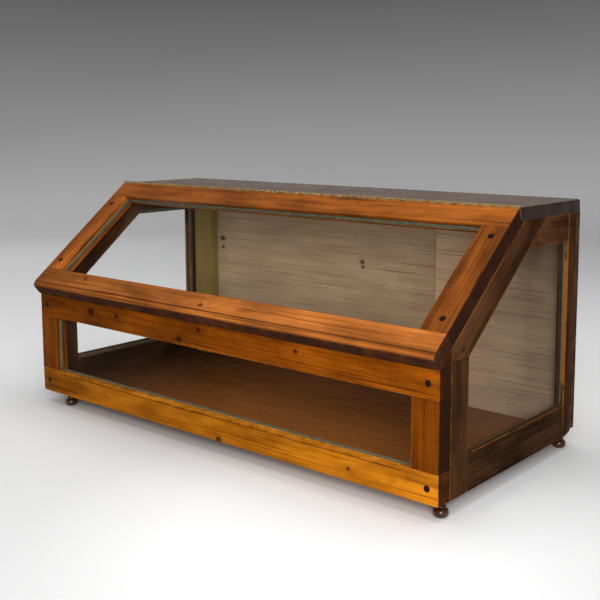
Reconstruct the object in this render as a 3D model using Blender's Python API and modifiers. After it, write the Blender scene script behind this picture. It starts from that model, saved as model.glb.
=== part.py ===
"""Counter-top display case: a glazed pine case with a sloping, glazed lid.

Four turned feet carry a closed box. Its front, its two ends and its lid are tenoned and
pegged frames, each with a pane of glass bedded in a rebate. A continuous brass hinge runs
the whole width between the lid and the top board, and its pin is the only moving joint.

Metres, +Z up. The origin is at the middle of the footprint, on the surface that the feet
stand on, and +Y points to the back. Section coordinates (y, z) start at the foot of the
front face: y runs to the back, and z up from the underside of the frame.
"""

import math

import bmesh
import bpy
from mathutils import Matrix, Vector

# Overall sizes
WIDTH = 0.965
DEPTH = 0.440  # front face to back face
HEIGHT = 0.417  # underside of the frame to the upper face of the top board
FOOT_HEIGHT = 0.024
NOSE_OVERHANG = 0.016  # how far the lid's lower edge stands in front of the front face
GAP = 0.0003  # left between neighbouring pieces

# Lid
SLOPE = math.radians(38.66)
TOP_FRONT = 0.221  # front face to the corner where lid and top board meet
LID_THICK = 0.028
LID_SEAT = 0.0005  # between the lid and the frames that it rests on
LID_LENGTH = 0.309  # corner to the lid's lower edge, down the slope
LID_TOP_RAIL = 0.0425
LID_BOTTOM_RAIL = 0.0467
LID_STILE = 0.048
LID_LIP = 0.010  # wood in front of the glass
NOSE_RUN = 0.010  # moulding along the lid's lower edge
NOSE_STEP = 0.0012
NOSE_DROP = 0.0078
NOSE_SEGMENTS = 6

# Front frame
FRONT_THICK = 0.030
FRONT_BOTTOM_RAIL = 0.048
FRONT_TOP_RAIL = 0.157  # underside of the upper rail
FRONT_STILE = 0.0486
FRONT_LIP = 0.010
CHAMFER_DEEP = 0.008
CHAMFER_HIGH = 0.006
CHAMFER_STOP = 0.070  # end of the case to where the chamfer stops

# Side frames
SIDE_THICK = 0.022
SIDE_BACK = 0.4277
SIDE_FRONT_STILE = 0.078
SIDE_BACK_STILE = 0.3965
SIDE_BOTTOM_RAIL = 0.060
SIDE_TOP_RAIL = 0.348
SIDE_BEND = 0.2077  # height of the corner where the opening starts to slope
SIDE_LIP = 0.008

# Boards and post
TOP_THICK = 0.022
BASE_THICK = 0.010
BACK_BOARD_BOTTOM = 0.0095  # just below the base board's top, so no light shows between them
BACK_BOARD_SEAM = 0.677  # left end to the seam between the two back boards
POST_WIDTH = 0.0567
POST_FRONT = 0.4075

# Glazing
REBATE = 0.008
GLASS = 0.003
PUTTY = 0.0055
PANE_PLAY = 0.0005  # pane edge to rebate wall

# Joinery
TENON_THICK = 0.008
TENON_ROOT = 0.006  # how far a tenon's shape runs back into its own member
TENON_X = (0.012, 0.038)  # a tenon's span across the end of a full-width rail
FRONT_TENON_REACH = 0.030  # how far a tenon enters the member that takes it
LID_TENON_REACH = 0.036
SIDE_TENON_REACH = 0.030
BACK_TENON_REACH = 0.0235
SIDE_TENON_SHOULDER = 0.014  # bottom rail's edges to its tenons
TOP_TENON_Z = (0.3585, 0.379)
SLOPE_TENON_Y = (0.246, 0.300)  # the top rail's tenon in the sloping rail
BEND_TENON_Y = (0.045, 0.068)  # the front stile's tenon in the sloping rail
BEND_TENON_TOP = 0.2265
PEG_RADIUS = 0.0052
SIDE_PEG_RADIUS = 0.0038
PEG_LENGTH = 0.022
SIDE_PEG_LENGTH = 0.017
PEG_PROUD = 0.0004
PEG_FROM_END = 0.0205
LID_PEGS = (0.066, 0.237)  # down the slope
SIDE_PEGS = {"bend": (0.062, 0.221), "slope": (0.2553, 0.3687), "back": (0.417, 0.3737)}
PEG_SIDES = 12
ARRIS = 0.0005  # softened edge of the timber
SHARP_ANGLE = math.radians(40)  # edges sharper than this are arrises

# Continuous hinge
PIN_STANDOFF = 0.002  # the pin's axis stands outside the corner
PIN_RADIUS = 0.0006
BORE_RADIUS = 0.0011
BARREL_RADIUS = 0.0019
BARREL_SIDES = 9
BORE_SIDES = 6
KNUCKLES = 76
KNUCKLE_PITCH = WIDTH / KNUCKLES
LEAF_THICK = 0.0012
LEAF_OFFSET = 0.0003  # from the hinge's middle plane to a leaf
LEAF_TOP = 0.0008  # below the corner
LEAF_BOTTOM = 0.020
TAB_LAP = 0.0010  # how far a knuckle's tab runs into its leaf
TAB_INSET = 0.0001  # the tab is thinner than its leaf by this on each face
MITRE_OFFSET = LEAF_OFFSET + LEAF_THICK + GAP

# Turned feet: a bun on a small flat pad, a collar, a neck and a spigot into the frame
BUN_RADIUS = 0.012
BUN_HEIGHT = 0.0145
PAD_RADIUS = 0.0055
COLLAR_RADIUS = 0.0078
COLLAR_TOP = 0.0185
NECK_RADIUS = 0.0055
SPIGOT_RADIUS = 0.003
SPIGOT_LENGTH = 0.010
FOOT_ROUND = 0.001  # softened edges of the collar, and half the flare of the neck
BUN_SEGMENTS = 6
FOOT_STEPS = 14
FEET = {
    "foot_front_left": (0.070, 0.016),
    "foot_front_right": (WIDTH - 0.0123, 0.026),
    "foot_back_left": (0.015, 0.415),
    "foot_back_right": (WIDTH - 0.015, 0.415),
}

LEFT_END, RIGHT_END = -WIDTH / 2, WIDTH / 2
ORIGIN_Y = (NOSE_OVERHANG - DEPTH) / 2

# Planes that outlines are drawn on. Each maps (u, v, w) to the part's own frame, and an
# outline in (u, v) is drawn out along w.
SECTION = Matrix(((0, 0, 1, 0), (1, 0, 0, ORIGIN_Y), (0, 1, 0, FOOT_HEIGHT), (0, 0, 0, 1)))
FRONT = Matrix(((1, 0, 0, 0), (0, 0, -1, ORIGIN_Y), (0, 1, 0, FOOT_HEIGHT), (0, 0, 0, 1)))
LID = (
    Matrix.Translation((0, ORIGIN_Y + TOP_FRONT, FOOT_HEIGHT + HEIGHT))
    @ Matrix.Rotation(SLOPE, 4, "X")
)

FINISHES = {  # name: (base colour, roughness, metallic, transmission)
    "lid_pine": ((0.40, 0.13, 0.03), 0.35, 0, 0),
    "front_pine": ((0.42, 0.17, 0.03), 0.35, 0, 0),
    "side_pine": ((0.11, 0.05, 0.025), 0.45, 0, 0),
    "top_board": ((0.12, 0.085, 0.075), 0.4, 0, 0),
    "back_board": ((0.20, 0.14, 0.10), 0.6, 0, 0),
    "base_board": ((0.13, 0.05, 0.02), 0.3, 0, 0),
    "green_paint": ((0.16, 0.17, 0.09), 0.55, 0, 0),
    "peg_wood": ((0.05, 0.025, 0.015), 0.5, 0, 0),
    "foot_wood": ((0.22, 0.10, 0.03), 0.25, 0, 0),
    "putty": ((0.45, 0.30, 0.12), 0.7, 0, 0),
    "brass": ((0.75, 0.55, 0.25), 0.3, 1, 0),
    "glass": ((0.9, 0.96, 0.93), 0.02, 0, 1),
}


def make_materials():
    """One Principled material for each finish."""
    materials = {}
    for name, (colour, roughness, metallic, transmission) in FINISHES.items():
        material = bpy.data.materials.new(name)
        material.use_nodes = True
        shader = material.node_tree.nodes["Principled BSDF"]
        shader.inputs["Base Color"].default_value = (*colour, 1)
        shader.inputs["Roughness"].default_value = roughness
        shader.inputs["Metallic"].default_value = metallic
        shader.inputs["Transmission Weight"].default_value = transmission
        materials[name] = material
    return materials


class Workshop:
    """The collections, empties and materials that the pieces are made with."""

    def __init__(self):
        for obj in list(bpy.data.objects):
            bpy.data.objects.remove(obj, do_unlink=True)
        self.parts = self.new_collection("display_case")
        self.cutters = self.new_collection("cutters")
        self.materials = make_materials()
        self.case = self.new_empty("case_root", Matrix())
        self.lid = self.new_empty("lid_hinge_axis", Matrix.Translation(pin_point()))
        bpy.context.view_layer.update()

    def new_collection(self, name):
        collection = bpy.data.collections.new(name)
        bpy.context.scene.collection.children.link(collection)
        return collection

    def new_empty(self, name, matrix):
        empty = bpy.data.objects.new(name, None)
        empty.matrix_world = matrix
        self.parts.objects.link(empty)
        return empty

    def place(self, obj, matrix, parent, material):
        """Puts a finished piece on its parent, or a helper shape among the cutters."""
        is_part = material is not None
        (self.parts if is_part else self.cutters).objects.link(obj)
        obj.parent = parent
        obj.matrix_parent_inverse = parent.matrix_world.inverted()
        obj.matrix_world = matrix
        if is_part:
            obj.data.materials.append(self.materials[material])
        else:
            obj.hide_render = True
            obj.display_type = "WIRE"
        return obj


def section_to_world(x, y, z):
    return Vector((x, ORIGIN_Y + y, FOOT_HEIGHT + z))


def lid_section(down, depth):
    """Section point at a distance down the lid's slope and a depth below its outer face."""
    y = TOP_FRONT - down * math.cos(SLOPE) + depth * math.sin(SLOPE)
    z = HEIGHT - down * math.sin(SLOPE) - depth * math.cos(SLOPE)
    return y, z


def mitre_section(depth, side):
    """Section point in the mitre between lid and top: into the case, then to the back."""
    half = SLOPE / 2
    y = TOP_FRONT + depth * math.sin(half) + side * math.cos(half)
    z = HEIGHT - depth * math.cos(half) + side * math.sin(half)
    return y, z


def pin_point():
    return section_to_world(0, *mitre_section(-PIN_STANDOFF, 0))


def seat_height(y):
    """Height of the sloping plane that the lid rests on."""
    y0, z0 = lid_section(0, LID_THICK + LID_SEAT)
    return z0 + (y - y0) * math.tan(SLOPE)


def rectangle(u0, v0, u1, v1):
    return [(u0, v0), (u1, v0), (u1, v1), (u0, v1)]


def lid_rectangle(down0, depth0, down1, depth1):
    """Rectangle that is square to the lid, as section points."""
    corners = rectangle(down0, depth0, down1, depth1)
    return [lid_section(down, depth) for down, depth in corners]


def grown(outline, distance):
    """The outline with each edge moved outwards; the outline runs anticlockwise."""
    points = [Vector(point) for point in outline]
    result = []
    for before, point, after in zip(points[-1:] + points[:-1], points, points[1:] + points[:1]):
        edge_in = (point - before).normalized()
        edge_out = (after - point).normalized()
        normal_in = Vector((edge_in.y, -edge_in.x))
        normal_out = Vector((edge_out.y, -edge_out.x))
        corner = (normal_in + normal_out) / (1 + normal_in.dot(normal_out))
        result.append(tuple(point + corner * distance))
    return result


def slab(shop, name, plane, outline, low, high, parent, material=None, hole=None, arris=0.0):
    """An outline on a plane, drawn out from w = low to w = high."""
    curve = bpy.data.curves.new(name, "CURVE")
    curve.dimensions = "2D"
    curve.fill_mode = "BOTH"
    curve.extrude = (high - low) / 2
    for ring in [outline] + ([hole] if hole else []):
        spline = curve.splines.new("POLY")
        spline.points.add(len(ring) - 1)
        spline.use_cyclic_u = True
        for point, (u, v) in zip(spline.points, ring):
            point.co = (u, v, 0, 1)
    drawn = bpy.data.objects.new(name + "_outline", curve)
    bpy.context.scene.collection.objects.link(drawn)
    evaluated = drawn.evaluated_get(bpy.context.evaluated_depsgraph_get())
    mesh = bpy.data.meshes.new_from_object(evaluated)
    mesh.name = name
    bpy.data.objects.remove(drawn)
    bpy.data.curves.remove(curve)
    weld_caps(mesh)
    obj = bpy.data.objects.new(name, mesh)
    shop.place(obj, plane @ Matrix.Translation((0, 0, (low + high) / 2)), parent, material)
    if arris:
        bevel = obj.modifiers.new("arris", "BEVEL")
        bevel.width = arris
        bevel.segments = 1
        bevel.limit_method = "ANGLE"
        bevel.angle_limit = SHARP_ANGLE
    return obj


def weld_caps(mesh):
    """Joins a filled outline's loose caps to its walls, and clears the flat faces' seams."""
    bm = bmesh.new()
    bm.from_mesh(mesh)
    bmesh.ops.remove_doubles(bm, verts=bm.verts, dist=1e-6)
    bmesh.ops.dissolve_limit(bm, angle_limit=0.001, verts=bm.verts, edges=bm.edges)
    bmesh.ops.recalc_face_normals(bm, faces=bm.faces)
    bm.to_mesh(mesh)
    bm.free()


def round_bar(shop, name, plane, centre, low, high, radius, parent, material=None):
    """A round bar along w at a point of a plane."""
    mesh = bpy.data.meshes.new(name)
    bm = bmesh.new()
    bmesh.ops.create_cone(
        bm, cap_ends=True, segments=PEG_SIDES, radius1=radius, radius2=radius, depth=high - low
    )
    bm.to_mesh(mesh)
    bm.free()
    mesh.shade_smooth()
    mesh.set_sharp_from_angle(angle=SHARP_ANGLE)
    obj = bpy.data.objects.new(name, mesh)
    matrix = plane @ Matrix.Translation((*centre, (low + high) / 2))
    return shop.place(obj, matrix, parent, material)


def cut(member, cutter):
    modifier = member.modifiers.new("cut_" + cutter.name, "BOOLEAN")
    modifier.operation = "DIFFERENCE"
    modifier.object = cutter


def join(member, addition):
    modifier = member.modifiers.new("join_" + addition.name, "BOOLEAN")
    modifier.operation = "UNION"
    modifier.object = addition


def tenon(shop, member, receiver, outline, low, high):
    """Gives one member a tenon, and the member it enters a mortise a little larger."""
    name = f"{member.name}_into_{receiver.name}"
    parent = member.parent
    join(member, slab(shop, name + "_tenon", SECTION, outline, low, high, parent))
    cut(
        receiver,
        slab(shop, name + "_mortise", SECTION, grown(outline, GAP), low - GAP, high + GAP, parent),
    )


def peg(shop, name, plane, centre, low, high, radius, members):
    """A peg driven through a joint, with its hole in each member that it passes through."""
    parent = members[0].parent
    hole = round_bar(
        shop, name + "_hole", plane, centre, low - GAP, high + GAP, radius + GAP, parent
    )
    for member in members:
        cut(member, hole)
    return round_bar(shop, name, plane, centre, low, high, radius, parent, "peg_wood")


def glaze(shop, name, plane, opening, lip, outward, members):
    """Cuts one rebate round an opening and beds a pane and its putty in it.

    lip is the w of the lip's inner face, and outward is the direction of the outer face
    along w. The pane lies behind the lip and the putty behind the pane.
    """
    parent = members[0].parent
    inward = -outward

    def layer(start, end):
        near, far = lip + inward * start, lip + inward * end
        return min(near, far), max(near, far)

    through = layer(0, FRONT_THICK)
    rebate = slab(shop, name + "_rebate", plane, grown(opening, REBATE), *through, parent)
    for member in members:
        cut(member, rebate)
    edge = grown(opening, REBATE - PANE_PLAY)
    pane = layer(GAP, GAP + GLASS)
    slab(shop, name + "_glass", plane, edge, *pane, parent, "glass")
    bead = layer(2 * GAP + GLASS, 2 * GAP + GLASS + PUTTY)
    sight = grown(opening, REBATE - PANE_PLAY - PUTTY)
    slab(shop, name + "_putty", plane, edge, *bead, parent, "putty", hole=sight)


def ends(outer, inward, near, far):
    """Low and high x of a span measured inwards from one end of the case."""
    return sorted((outer + inward * near, outer + inward * far))


def make_front_frame(shop):
    """Full-width rails with stiles tenoned between them."""
    full_width = (LEFT_END, RIGHT_END, shop.case, "front_pine")
    bottom_outline = rectangle(0, 0, FRONT_THICK, FRONT_BOTTOM_RAIL)
    top_outline = [
        (0, FRONT_TOP_RAIL),
        (FRONT_THICK, FRONT_TOP_RAIL),
        (FRONT_THICK, seat_height(FRONT_THICK)),
        (0, seat_height(0)),
    ]
    bottom = slab(shop, "front_bottom_rail", SECTION, bottom_outline, *full_width, arris=ARRIS)
    top = slab(shop, "front_top_rail", SECTION, top_outline, *full_width, arris=ARRIS)
    chamfer_outline = [
        (-CHAMFER_DEEP, FRONT_BOTTOM_RAIL - 2 * CHAMFER_HIGH),
        (2 * CHAMFER_DEEP, FRONT_BOTTOM_RAIL + CHAMFER_HIGH),
        (-CHAMFER_DEEP, FRONT_BOTTOM_RAIL + CHAMFER_HIGH),
    ]
    chamfer_x = (LEFT_END + CHAMFER_STOP, RIGHT_END - CHAMFER_STOP)
    cut(bottom, slab(shop, "front_chamfer", SECTION, chamfer_outline, *chamfer_x, shop.case))

    members = [bottom, top]
    stile_outline = rectangle(0, FRONT_BOTTOM_RAIL + GAP, FRONT_THICK, FRONT_TOP_RAIL - GAP)
    tongue = (FRONT_THICK - TENON_THICK) / 2
    tongue_back = tongue + TENON_THICK
    lower = rectangle(
        tongue, FRONT_BOTTOM_RAIL - FRONT_TENON_REACH, tongue_back, FRONT_BOTTOM_RAIL + TENON_ROOT
    )
    upper = rectangle(
        tongue, FRONT_TOP_RAIL - TENON_ROOT, tongue_back, FRONT_TOP_RAIL + FRONT_TENON_REACH
    )
    top_peg_height = (FRONT_TOP_RAIL + seat_height(0)) / 2
    for side, outer, inward in (("left", LEFT_END, 1), ("right", RIGHT_END, -1)):
        span = ends(outer, inward, 0, FRONT_STILE)
        stile = slab(
            shop, f"front_{side}_stile", SECTION, stile_outline, *span, shop.case, "front_pine",
            arris=ARRIS,
        )
        tenon(shop, stile, bottom, lower, *ends(outer, inward, *TENON_X))
        tenon(shop, stile, top, upper, *ends(outer, inward, *TENON_X))
        members.append(stile)
        across = outer + inward * PEG_FROM_END
        for level, height, rail in (
            ("bottom", FRONT_BOTTOM_RAIL / 2, bottom),
            ("top", top_peg_height, top),
        ):
            name = f"front_peg_{level}_{side}"
            drive = (-PEG_LENGTH, PEG_PROUD, PEG_RADIUS)
            peg(shop, name, FRONT, (across, height), *drive, [rail, stile])

    opening = rectangle(
        LEFT_END + FRONT_STILE, FRONT_BOTTOM_RAIL, RIGHT_END - FRONT_STILE, FRONT_TOP_RAIL
    )
    glaze(shop, "front", FRONT, opening, -FRONT_LIP, 1, members)
    return bottom


def make_side_frame(shop, side, outer, inward):
    """One five-sided end: front stile, sloping rail, top rail, back stile and bottom rail."""
    front_edge = FRONT_THICK + GAP
    under_top = HEIGHT - TOP_THICK - GAP

    def opening_slope(z):
        """y of the opening's sloping edge, and of the joint that carries it on upwards."""
        return SIDE_FRONT_STILE + (z - SIDE_BEND) / math.tan(SLOPE)

    def seat(z):
        return (z - seat_height(0)) / math.tan(SLOPE)

    slope_gap = GAP / math.sin(SLOPE)
    outlines = {
        "front_stile": rectangle(front_edge, 0, SIDE_FRONT_STILE, SIDE_BEND - GAP),
        "slope_rail": [
            (front_edge, SIDE_BEND),
            (SIDE_FRONT_STILE, SIDE_BEND),
            (opening_slope(under_top), under_top),
            (seat(under_top), under_top),
            (front_edge, seat_height(front_edge)),
        ],
        "top_rail": [
            (opening_slope(SIDE_TOP_RAIL) + slope_gap, SIDE_TOP_RAIL),
            (SIDE_BACK_STILE - GAP, SIDE_TOP_RAIL),
            (SIDE_BACK_STILE - GAP, under_top),
            (opening_slope(under_top) + slope_gap, under_top),
        ],
        "back_stile": rectangle(SIDE_BACK_STILE, 0, SIDE_BACK, under_top),
        "bottom_rail": rectangle(
            SIDE_FRONT_STILE + GAP, 0, SIDE_BACK_STILE - GAP, SIDE_BOTTOM_RAIL
        ),
    }
    span = ends(outer, inward, 0, SIDE_THICK)
    members = {}
    for part, outline in outlines.items():
        name = f"{side}_side_{part}"
        members[part] = slab(
            shop, name, SECTION, outline, *span, shop.case, "side_pine", arris=ARRIS
        )

    tongue = (SIDE_THICK - TENON_THICK) / 2
    tongue_x = ends(outer, inward, tongue, tongue + TENON_THICK)
    front_y = (SIDE_FRONT_STILE - SIDE_TENON_REACH, SIDE_FRONT_STILE + TENON_ROOT)
    back_y = (SIDE_BACK_STILE - TENON_ROOT, SIDE_BACK_STILE + BACK_TENON_REACH)
    low_z = (SIDE_TENON_SHOULDER, SIDE_BOTTOM_RAIL - SIDE_TENON_SHOULDER)
    bend_z = (SIDE_BEND - TENON_ROOT, BEND_TENON_TOP)
    for member, receiver, (y0, y1), (z0, z1) in (
        ("bottom_rail", "front_stile", front_y, low_z),
        ("bottom_rail", "back_stile", back_y, low_z),
        ("front_stile", "slope_rail", BEND_TENON_Y, bend_z),
        ("top_rail", "slope_rail", SLOPE_TENON_Y, TOP_TENON_Z),
        ("top_rail", "back_stile", back_y, TOP_TENON_Z),
    ):
        tenon(shop, members[member], members[receiver], rectangle(y0, z0, y1, z1), *tongue_x)

    peg_x = ends(outer, inward, -PEG_PROUD, SIDE_PEG_LENGTH)
    pegged = {
        "bend": ("slope_rail", "front_stile"),
        "slope": ("slope_rail", "top_rail"),
        "back": ("back_stile", "top_rail"),
    }
    for place, pair in pegged.items():
        joined = [members[part] for part in pair]
        name = f"{side}_peg_{place}"
        peg(shop, name, SECTION, SIDE_PEGS[place], *peg_x, SIDE_PEG_RADIUS, joined)

    opening = [
        (SIDE_FRONT_STILE, SIDE_BOTTOM_RAIL),
        (SIDE_BACK_STILE, SIDE_BOTTOM_RAIL),
        (SIDE_BACK_STILE, SIDE_TOP_RAIL),
        (opening_slope(SIDE_TOP_RAIL), SIDE_TOP_RAIL),
        (SIDE_FRONT_STILE, SIDE_BEND),
    ]
    lip = outer + inward * SIDE_LIP
    glaze(shop, f"{side}_side", SECTION, opening, lip, -inward, list(members.values()))
    return members["back_stile"]


def make_boards(shop):
    """Top board, the two back boards, the base board and the post in the back left corner."""
    case = shop.case
    under_top = HEIGHT - TOP_THICK - GAP
    front_edge = TOP_FRONT + MITRE_OFFSET / math.cos(SLOPE / 2)
    top_outline = [
        (front_edge + TOP_THICK * math.tan(SLOPE / 2), HEIGHT - TOP_THICK),
        (DEPTH, HEIGHT - TOP_THICK),
        (DEPTH, HEIGHT),
        (front_edge, HEIGHT),
    ]
    back_outline = rectangle(SIDE_BACK + GAP, BACK_BOARD_BOTTOM, DEPTH, under_top)
    base_outline = rectangle(FRONT_THICK + GAP, 0, SIDE_BACK, BASE_THICK)
    post_outline = rectangle(POST_FRONT, BASE_THICK + GAP, SIDE_BACK, under_top)
    inside_left, inside_right = LEFT_END + SIDE_THICK + GAP, RIGHT_END - SIDE_THICK - GAP
    seam = LEFT_END + BACK_BOARD_SEAM
    for name, outline, low, high, finish in (
        ("top_board", top_outline, LEFT_END, RIGHT_END, "top_board"),
        ("back_board_left", back_outline, LEFT_END, seam - GAP, "back_board"),
        ("back_board_right", back_outline, seam, RIGHT_END, "back_board"),
        ("base_board", base_outline, inside_left, inside_right, "base_board"),
        ("back_post", post_outline, inside_left, inside_left + POST_WIDTH, "green_paint"),
    ):
        slab(shop, name, SECTION, outline, low, high, case, finish, arris=ARRIS)


def nose_outline():
    """Cross-section of the lid's bottom rail, with a stepped thumb moulding on its edge."""
    back = LID_LENGTH - LID_BOTTOM_RAIL
    points = [(back, LID_THICK), (back, 0), (LID_LENGTH - NOSE_RUN, 0)]
    for index in range(NOSE_SEGMENTS + 1):
        angle = math.pi / 2 * index / NOSE_SEGMENTS
        down = LID_LENGTH - NOSE_RUN * (1 - math.sin(angle))
        points.append((down, NOSE_STEP + NOSE_DROP * (1 - math.cos(angle))))
    points.append((LID_LENGTH, LID_THICK))
    return [lid_section(down, depth) for down, depth in points]


def make_lid_frame(shop):
    """Rails across the full width, tenoned and pegged into the stiles between them."""
    lid = shop.lid
    full_width = (LEFT_END, RIGHT_END, lid, "lid_pine")
    mitre_top = MITRE_OFFSET / math.cos(SLOPE / 2)
    mitre_under = mitre_top + LID_THICK * math.tan(SLOPE / 2)
    bottom_start = LID_LENGTH - LID_BOTTOM_RAIL
    top_points = [(mitre_top, 0), (mitre_under, LID_THICK)]
    top_points += [(LID_TOP_RAIL, LID_THICK), (LID_TOP_RAIL, 0)]
    top_outline = [lid_section(down, depth) for down, depth in top_points]
    top = slab(shop, "lid_top_rail", SECTION, top_outline, *full_width, arris=ARRIS)
    bottom = slab(shop, "lid_bottom_rail", SECTION, nose_outline(), *full_width, arris=ARRIS)

    members = [top, bottom]
    stile_outline = lid_rectangle(LID_TOP_RAIL + GAP, 0, bottom_start - GAP, LID_THICK)
    tongue = (LID_THICK - TENON_THICK) / 2
    tongue_back = tongue + TENON_THICK
    upper = lid_rectangle(
        LID_TOP_RAIL - TENON_ROOT, tongue, LID_TOP_RAIL + LID_TENON_REACH, tongue_back
    )
    lower = lid_rectangle(
        bottom_start - LID_TENON_REACH, tongue, bottom_start + TENON_ROOT, tongue_back
    )
    for side, outer, inward in (("left", LEFT_END, 1), ("right", RIGHT_END, -1)):
        span = ends(outer, inward, 0, LID_STILE)
        name = f"lid_{side}_stile"
        stile = slab(shop, name, SECTION, stile_outline, *span, lid, "lid_pine", arris=ARRIS)
        tenon(shop, top, stile, upper, *ends(outer, inward, *TENON_X))
        tenon(shop, bottom, stile, lower, *ends(outer, inward, *TENON_X))
        members.append(stile)
        across = outer + inward * PEG_FROM_END
        for level, down, rail in zip(("top", "bottom"), LID_PEGS, (top, bottom)):
            name = f"lid_peg_{level}_{side}"
            drive = (-PEG_LENGTH, PEG_PROUD, PEG_RADIUS)
            peg(shop, name, LID, (across, -down), *drive, [stile, rail])

    opening = rectangle(
        LEFT_END + LID_STILE, -bottom_start, RIGHT_END - LID_STILE, -LID_TOP_RAIL
    )
    glaze(shop, "lid", LID, opening, -LID_LIP, 1, members)


def knuckle_outline(side):
    """A barrel with the tab that ties it to its leaf, and the hexagonal bore through it."""
    near, far = LEAF_OFFSET + TAB_INSET, LEAF_OFFSET + LEAF_THICK - TAB_INSET
    start, end = math.asin(far / BARREL_RADIUS), math.tau + math.asin(near / BARREL_RADIUS)
    tab_end = LEAF_TOP + TAB_LAP
    points = [(tab_end, near), (tab_end, far)]
    for index in range(BARREL_SIDES + 1):
        angle = start + (end - start) * index / BARREL_SIDES
        depth = BARREL_RADIUS * math.cos(angle) - PIN_STANDOFF
        points.append((depth, BARREL_RADIUS * math.sin(angle)))
    bore = []
    for index in range(BORE_SIDES):
        angle = math.tau * index / BORE_SIDES
        bore.append((BORE_RADIUS * math.cos(angle) - PIN_STANDOFF, BORE_RADIUS * math.sin(angle)))
    outline = [mitre_section(depth, side * offset) for depth, offset in points]
    return outline, [mitre_section(depth, side * offset) for depth, offset in bore]


def make_leaf(shop, name, side, first_knuckle, parent):
    """A brass leaf with every other knuckle of the barrel."""
    plate_corners = rectangle(LEAF_TOP, LEAF_OFFSET, LEAF_BOTTOM, LEAF_OFFSET + LEAF_THICK)
    plate = [mitre_section(depth, side * offset) for depth, offset in plate_corners]
    leaf = slab(shop, name, SECTION, plate, LEFT_END + GAP, RIGHT_END - GAP, parent, "brass")
    outline, bore = knuckle_outline(side)
    start = LEFT_END + first_knuckle * KNUCKLE_PITCH + GAP / 2
    knuckles = slab(
        shop, name + "_knuckles", SECTION, outline, start, start + KNUCKLE_PITCH - GAP, parent,
        hole=bore,
    )
    row = knuckles.modifiers.new("row", "ARRAY")
    row.use_relative_offset = False
    row.use_constant_offset = True
    row.constant_offset_displace = (0, 0, 2 * KNUCKLE_PITCH)
    row.count = KNUCKLES // 2
    join(leaf, knuckles)


def make_hinge(shop):
    """Two leaves folded face to face in the mitre, and the pin they share."""
    make_leaf(shop, "hinge_fixed_leaf", 1, 0, shop.case)
    make_leaf(shop, "hinge_moving_leaf", -1, 1, shop.lid)
    axis = mitre_section(-PIN_STANDOFF, 0)
    span = (LEFT_END + GAP, RIGHT_END - GAP)
    round_bar(shop, "hinge_pin", SECTION, axis, *span, PIN_RADIUS, shop.case, "brass")


def foot_profile():
    """Radius and height down the turned outline, from the spigot's top to the pad."""
    shoulder = FOOT_HEIGHT - GAP
    points = [
        (0, FOOT_HEIGHT + SPIGOT_LENGTH),
        (SPIGOT_RADIUS, FOOT_HEIGHT + SPIGOT_LENGTH),
        (SPIGOT_RADIUS, shoulder),
        (NECK_RADIUS + FOOT_ROUND, shoulder),
        (NECK_RADIUS, COLLAR_TOP + 2 * FOOT_ROUND),
        (NECK_RADIUS, COLLAR_TOP),
        (COLLAR_RADIUS, COLLAR_TOP - FOOT_ROUND),
        (COLLAR_RADIUS, BUN_HEIGHT + FOOT_ROUND),
        (COLLAR_RADIUS - FOOT_ROUND, BUN_HEIGHT),
    ]
    top = math.acos((COLLAR_RADIUS - FOOT_ROUND) / BUN_RADIUS)
    bottom = -math.acos(PAD_RADIUS / BUN_RADIUS)
    for index in range(1, BUN_SEGMENTS + 1):
        angle = top + (bottom - top) * index / BUN_SEGMENTS
        rise = (math.sin(angle) - math.sin(bottom)) / (math.sin(top) - math.sin(bottom))
        points.append((BUN_RADIUS * math.cos(angle), BUN_HEIGHT * rise))
    points.append((0, 0))
    return points


def make_foot(shop, name, place, frame_member):
    """A turned foot with its spigot in a hole in the frame above it."""
    profile = foot_profile()
    mesh = bpy.data.meshes.new(name)
    edges = [(index, index + 1) for index in range(len(profile) - 1)]
    mesh.from_pydata([(radius, 0, height) for radius, height in profile], edges, [])
    foot = bpy.data.objects.new(name, mesh)
    x, y = LEFT_END + place[0], ORIGIN_Y + place[1]
    shop.place(foot, Matrix.Translation((x, y, 0)), shop.case, "foot_wood")
    turning = foot.modifiers.new("turning", "SCREW")
    turning.axis = "Z"
    turning.steps = turning.render_steps = FOOT_STEPS
    turning.use_merge_vertices = True
    turning.merge_threshold = 0.00001
    turning.use_smooth_shade = True
    floor = Matrix.Translation((0, 0, FOOT_HEIGHT))
    hole = (-SPIGOT_LENGTH, SPIGOT_LENGTH + GAP, SPIGOT_RADIUS + GAP)
    cut(frame_member, round_bar(shop, name + "_hole", floor, (x, y), *hole, shop.case))


def main():
    shop = Workshop()
    front_rail = make_front_frame(shop)
    left_stile = make_side_frame(shop, "left", LEFT_END, 1)
    right_stile = make_side_frame(shop, "right", RIGHT_END, -1)
    make_boards(shop)
    make_lid_frame(shop)
    make_hinge(shop)
    for name, place in FEET.items():
        member = front_rail
        if "back" in name:
            member = left_stile if "left" in name else right_stile
        make_foot(shop, name, place, member)


main()
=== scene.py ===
"""Looks for the display case: worn pine, old glass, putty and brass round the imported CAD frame.

The hinge pin is the CAD's own, in brass. Every other CAD node is replaced by a finer piece,
mostly worked from its own mesh: arrises worn round and nicked, surfaces a little uneven,
putty pressed in by hand, panes drawn slightly wavy. Metres, in the part's own frame.
"""

import random
from math import cos, exp, hypot, pi, radians, sin, sqrt, tau

import bmesh
import bpy
from mathutils import Matrix, Vector, noise


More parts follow.
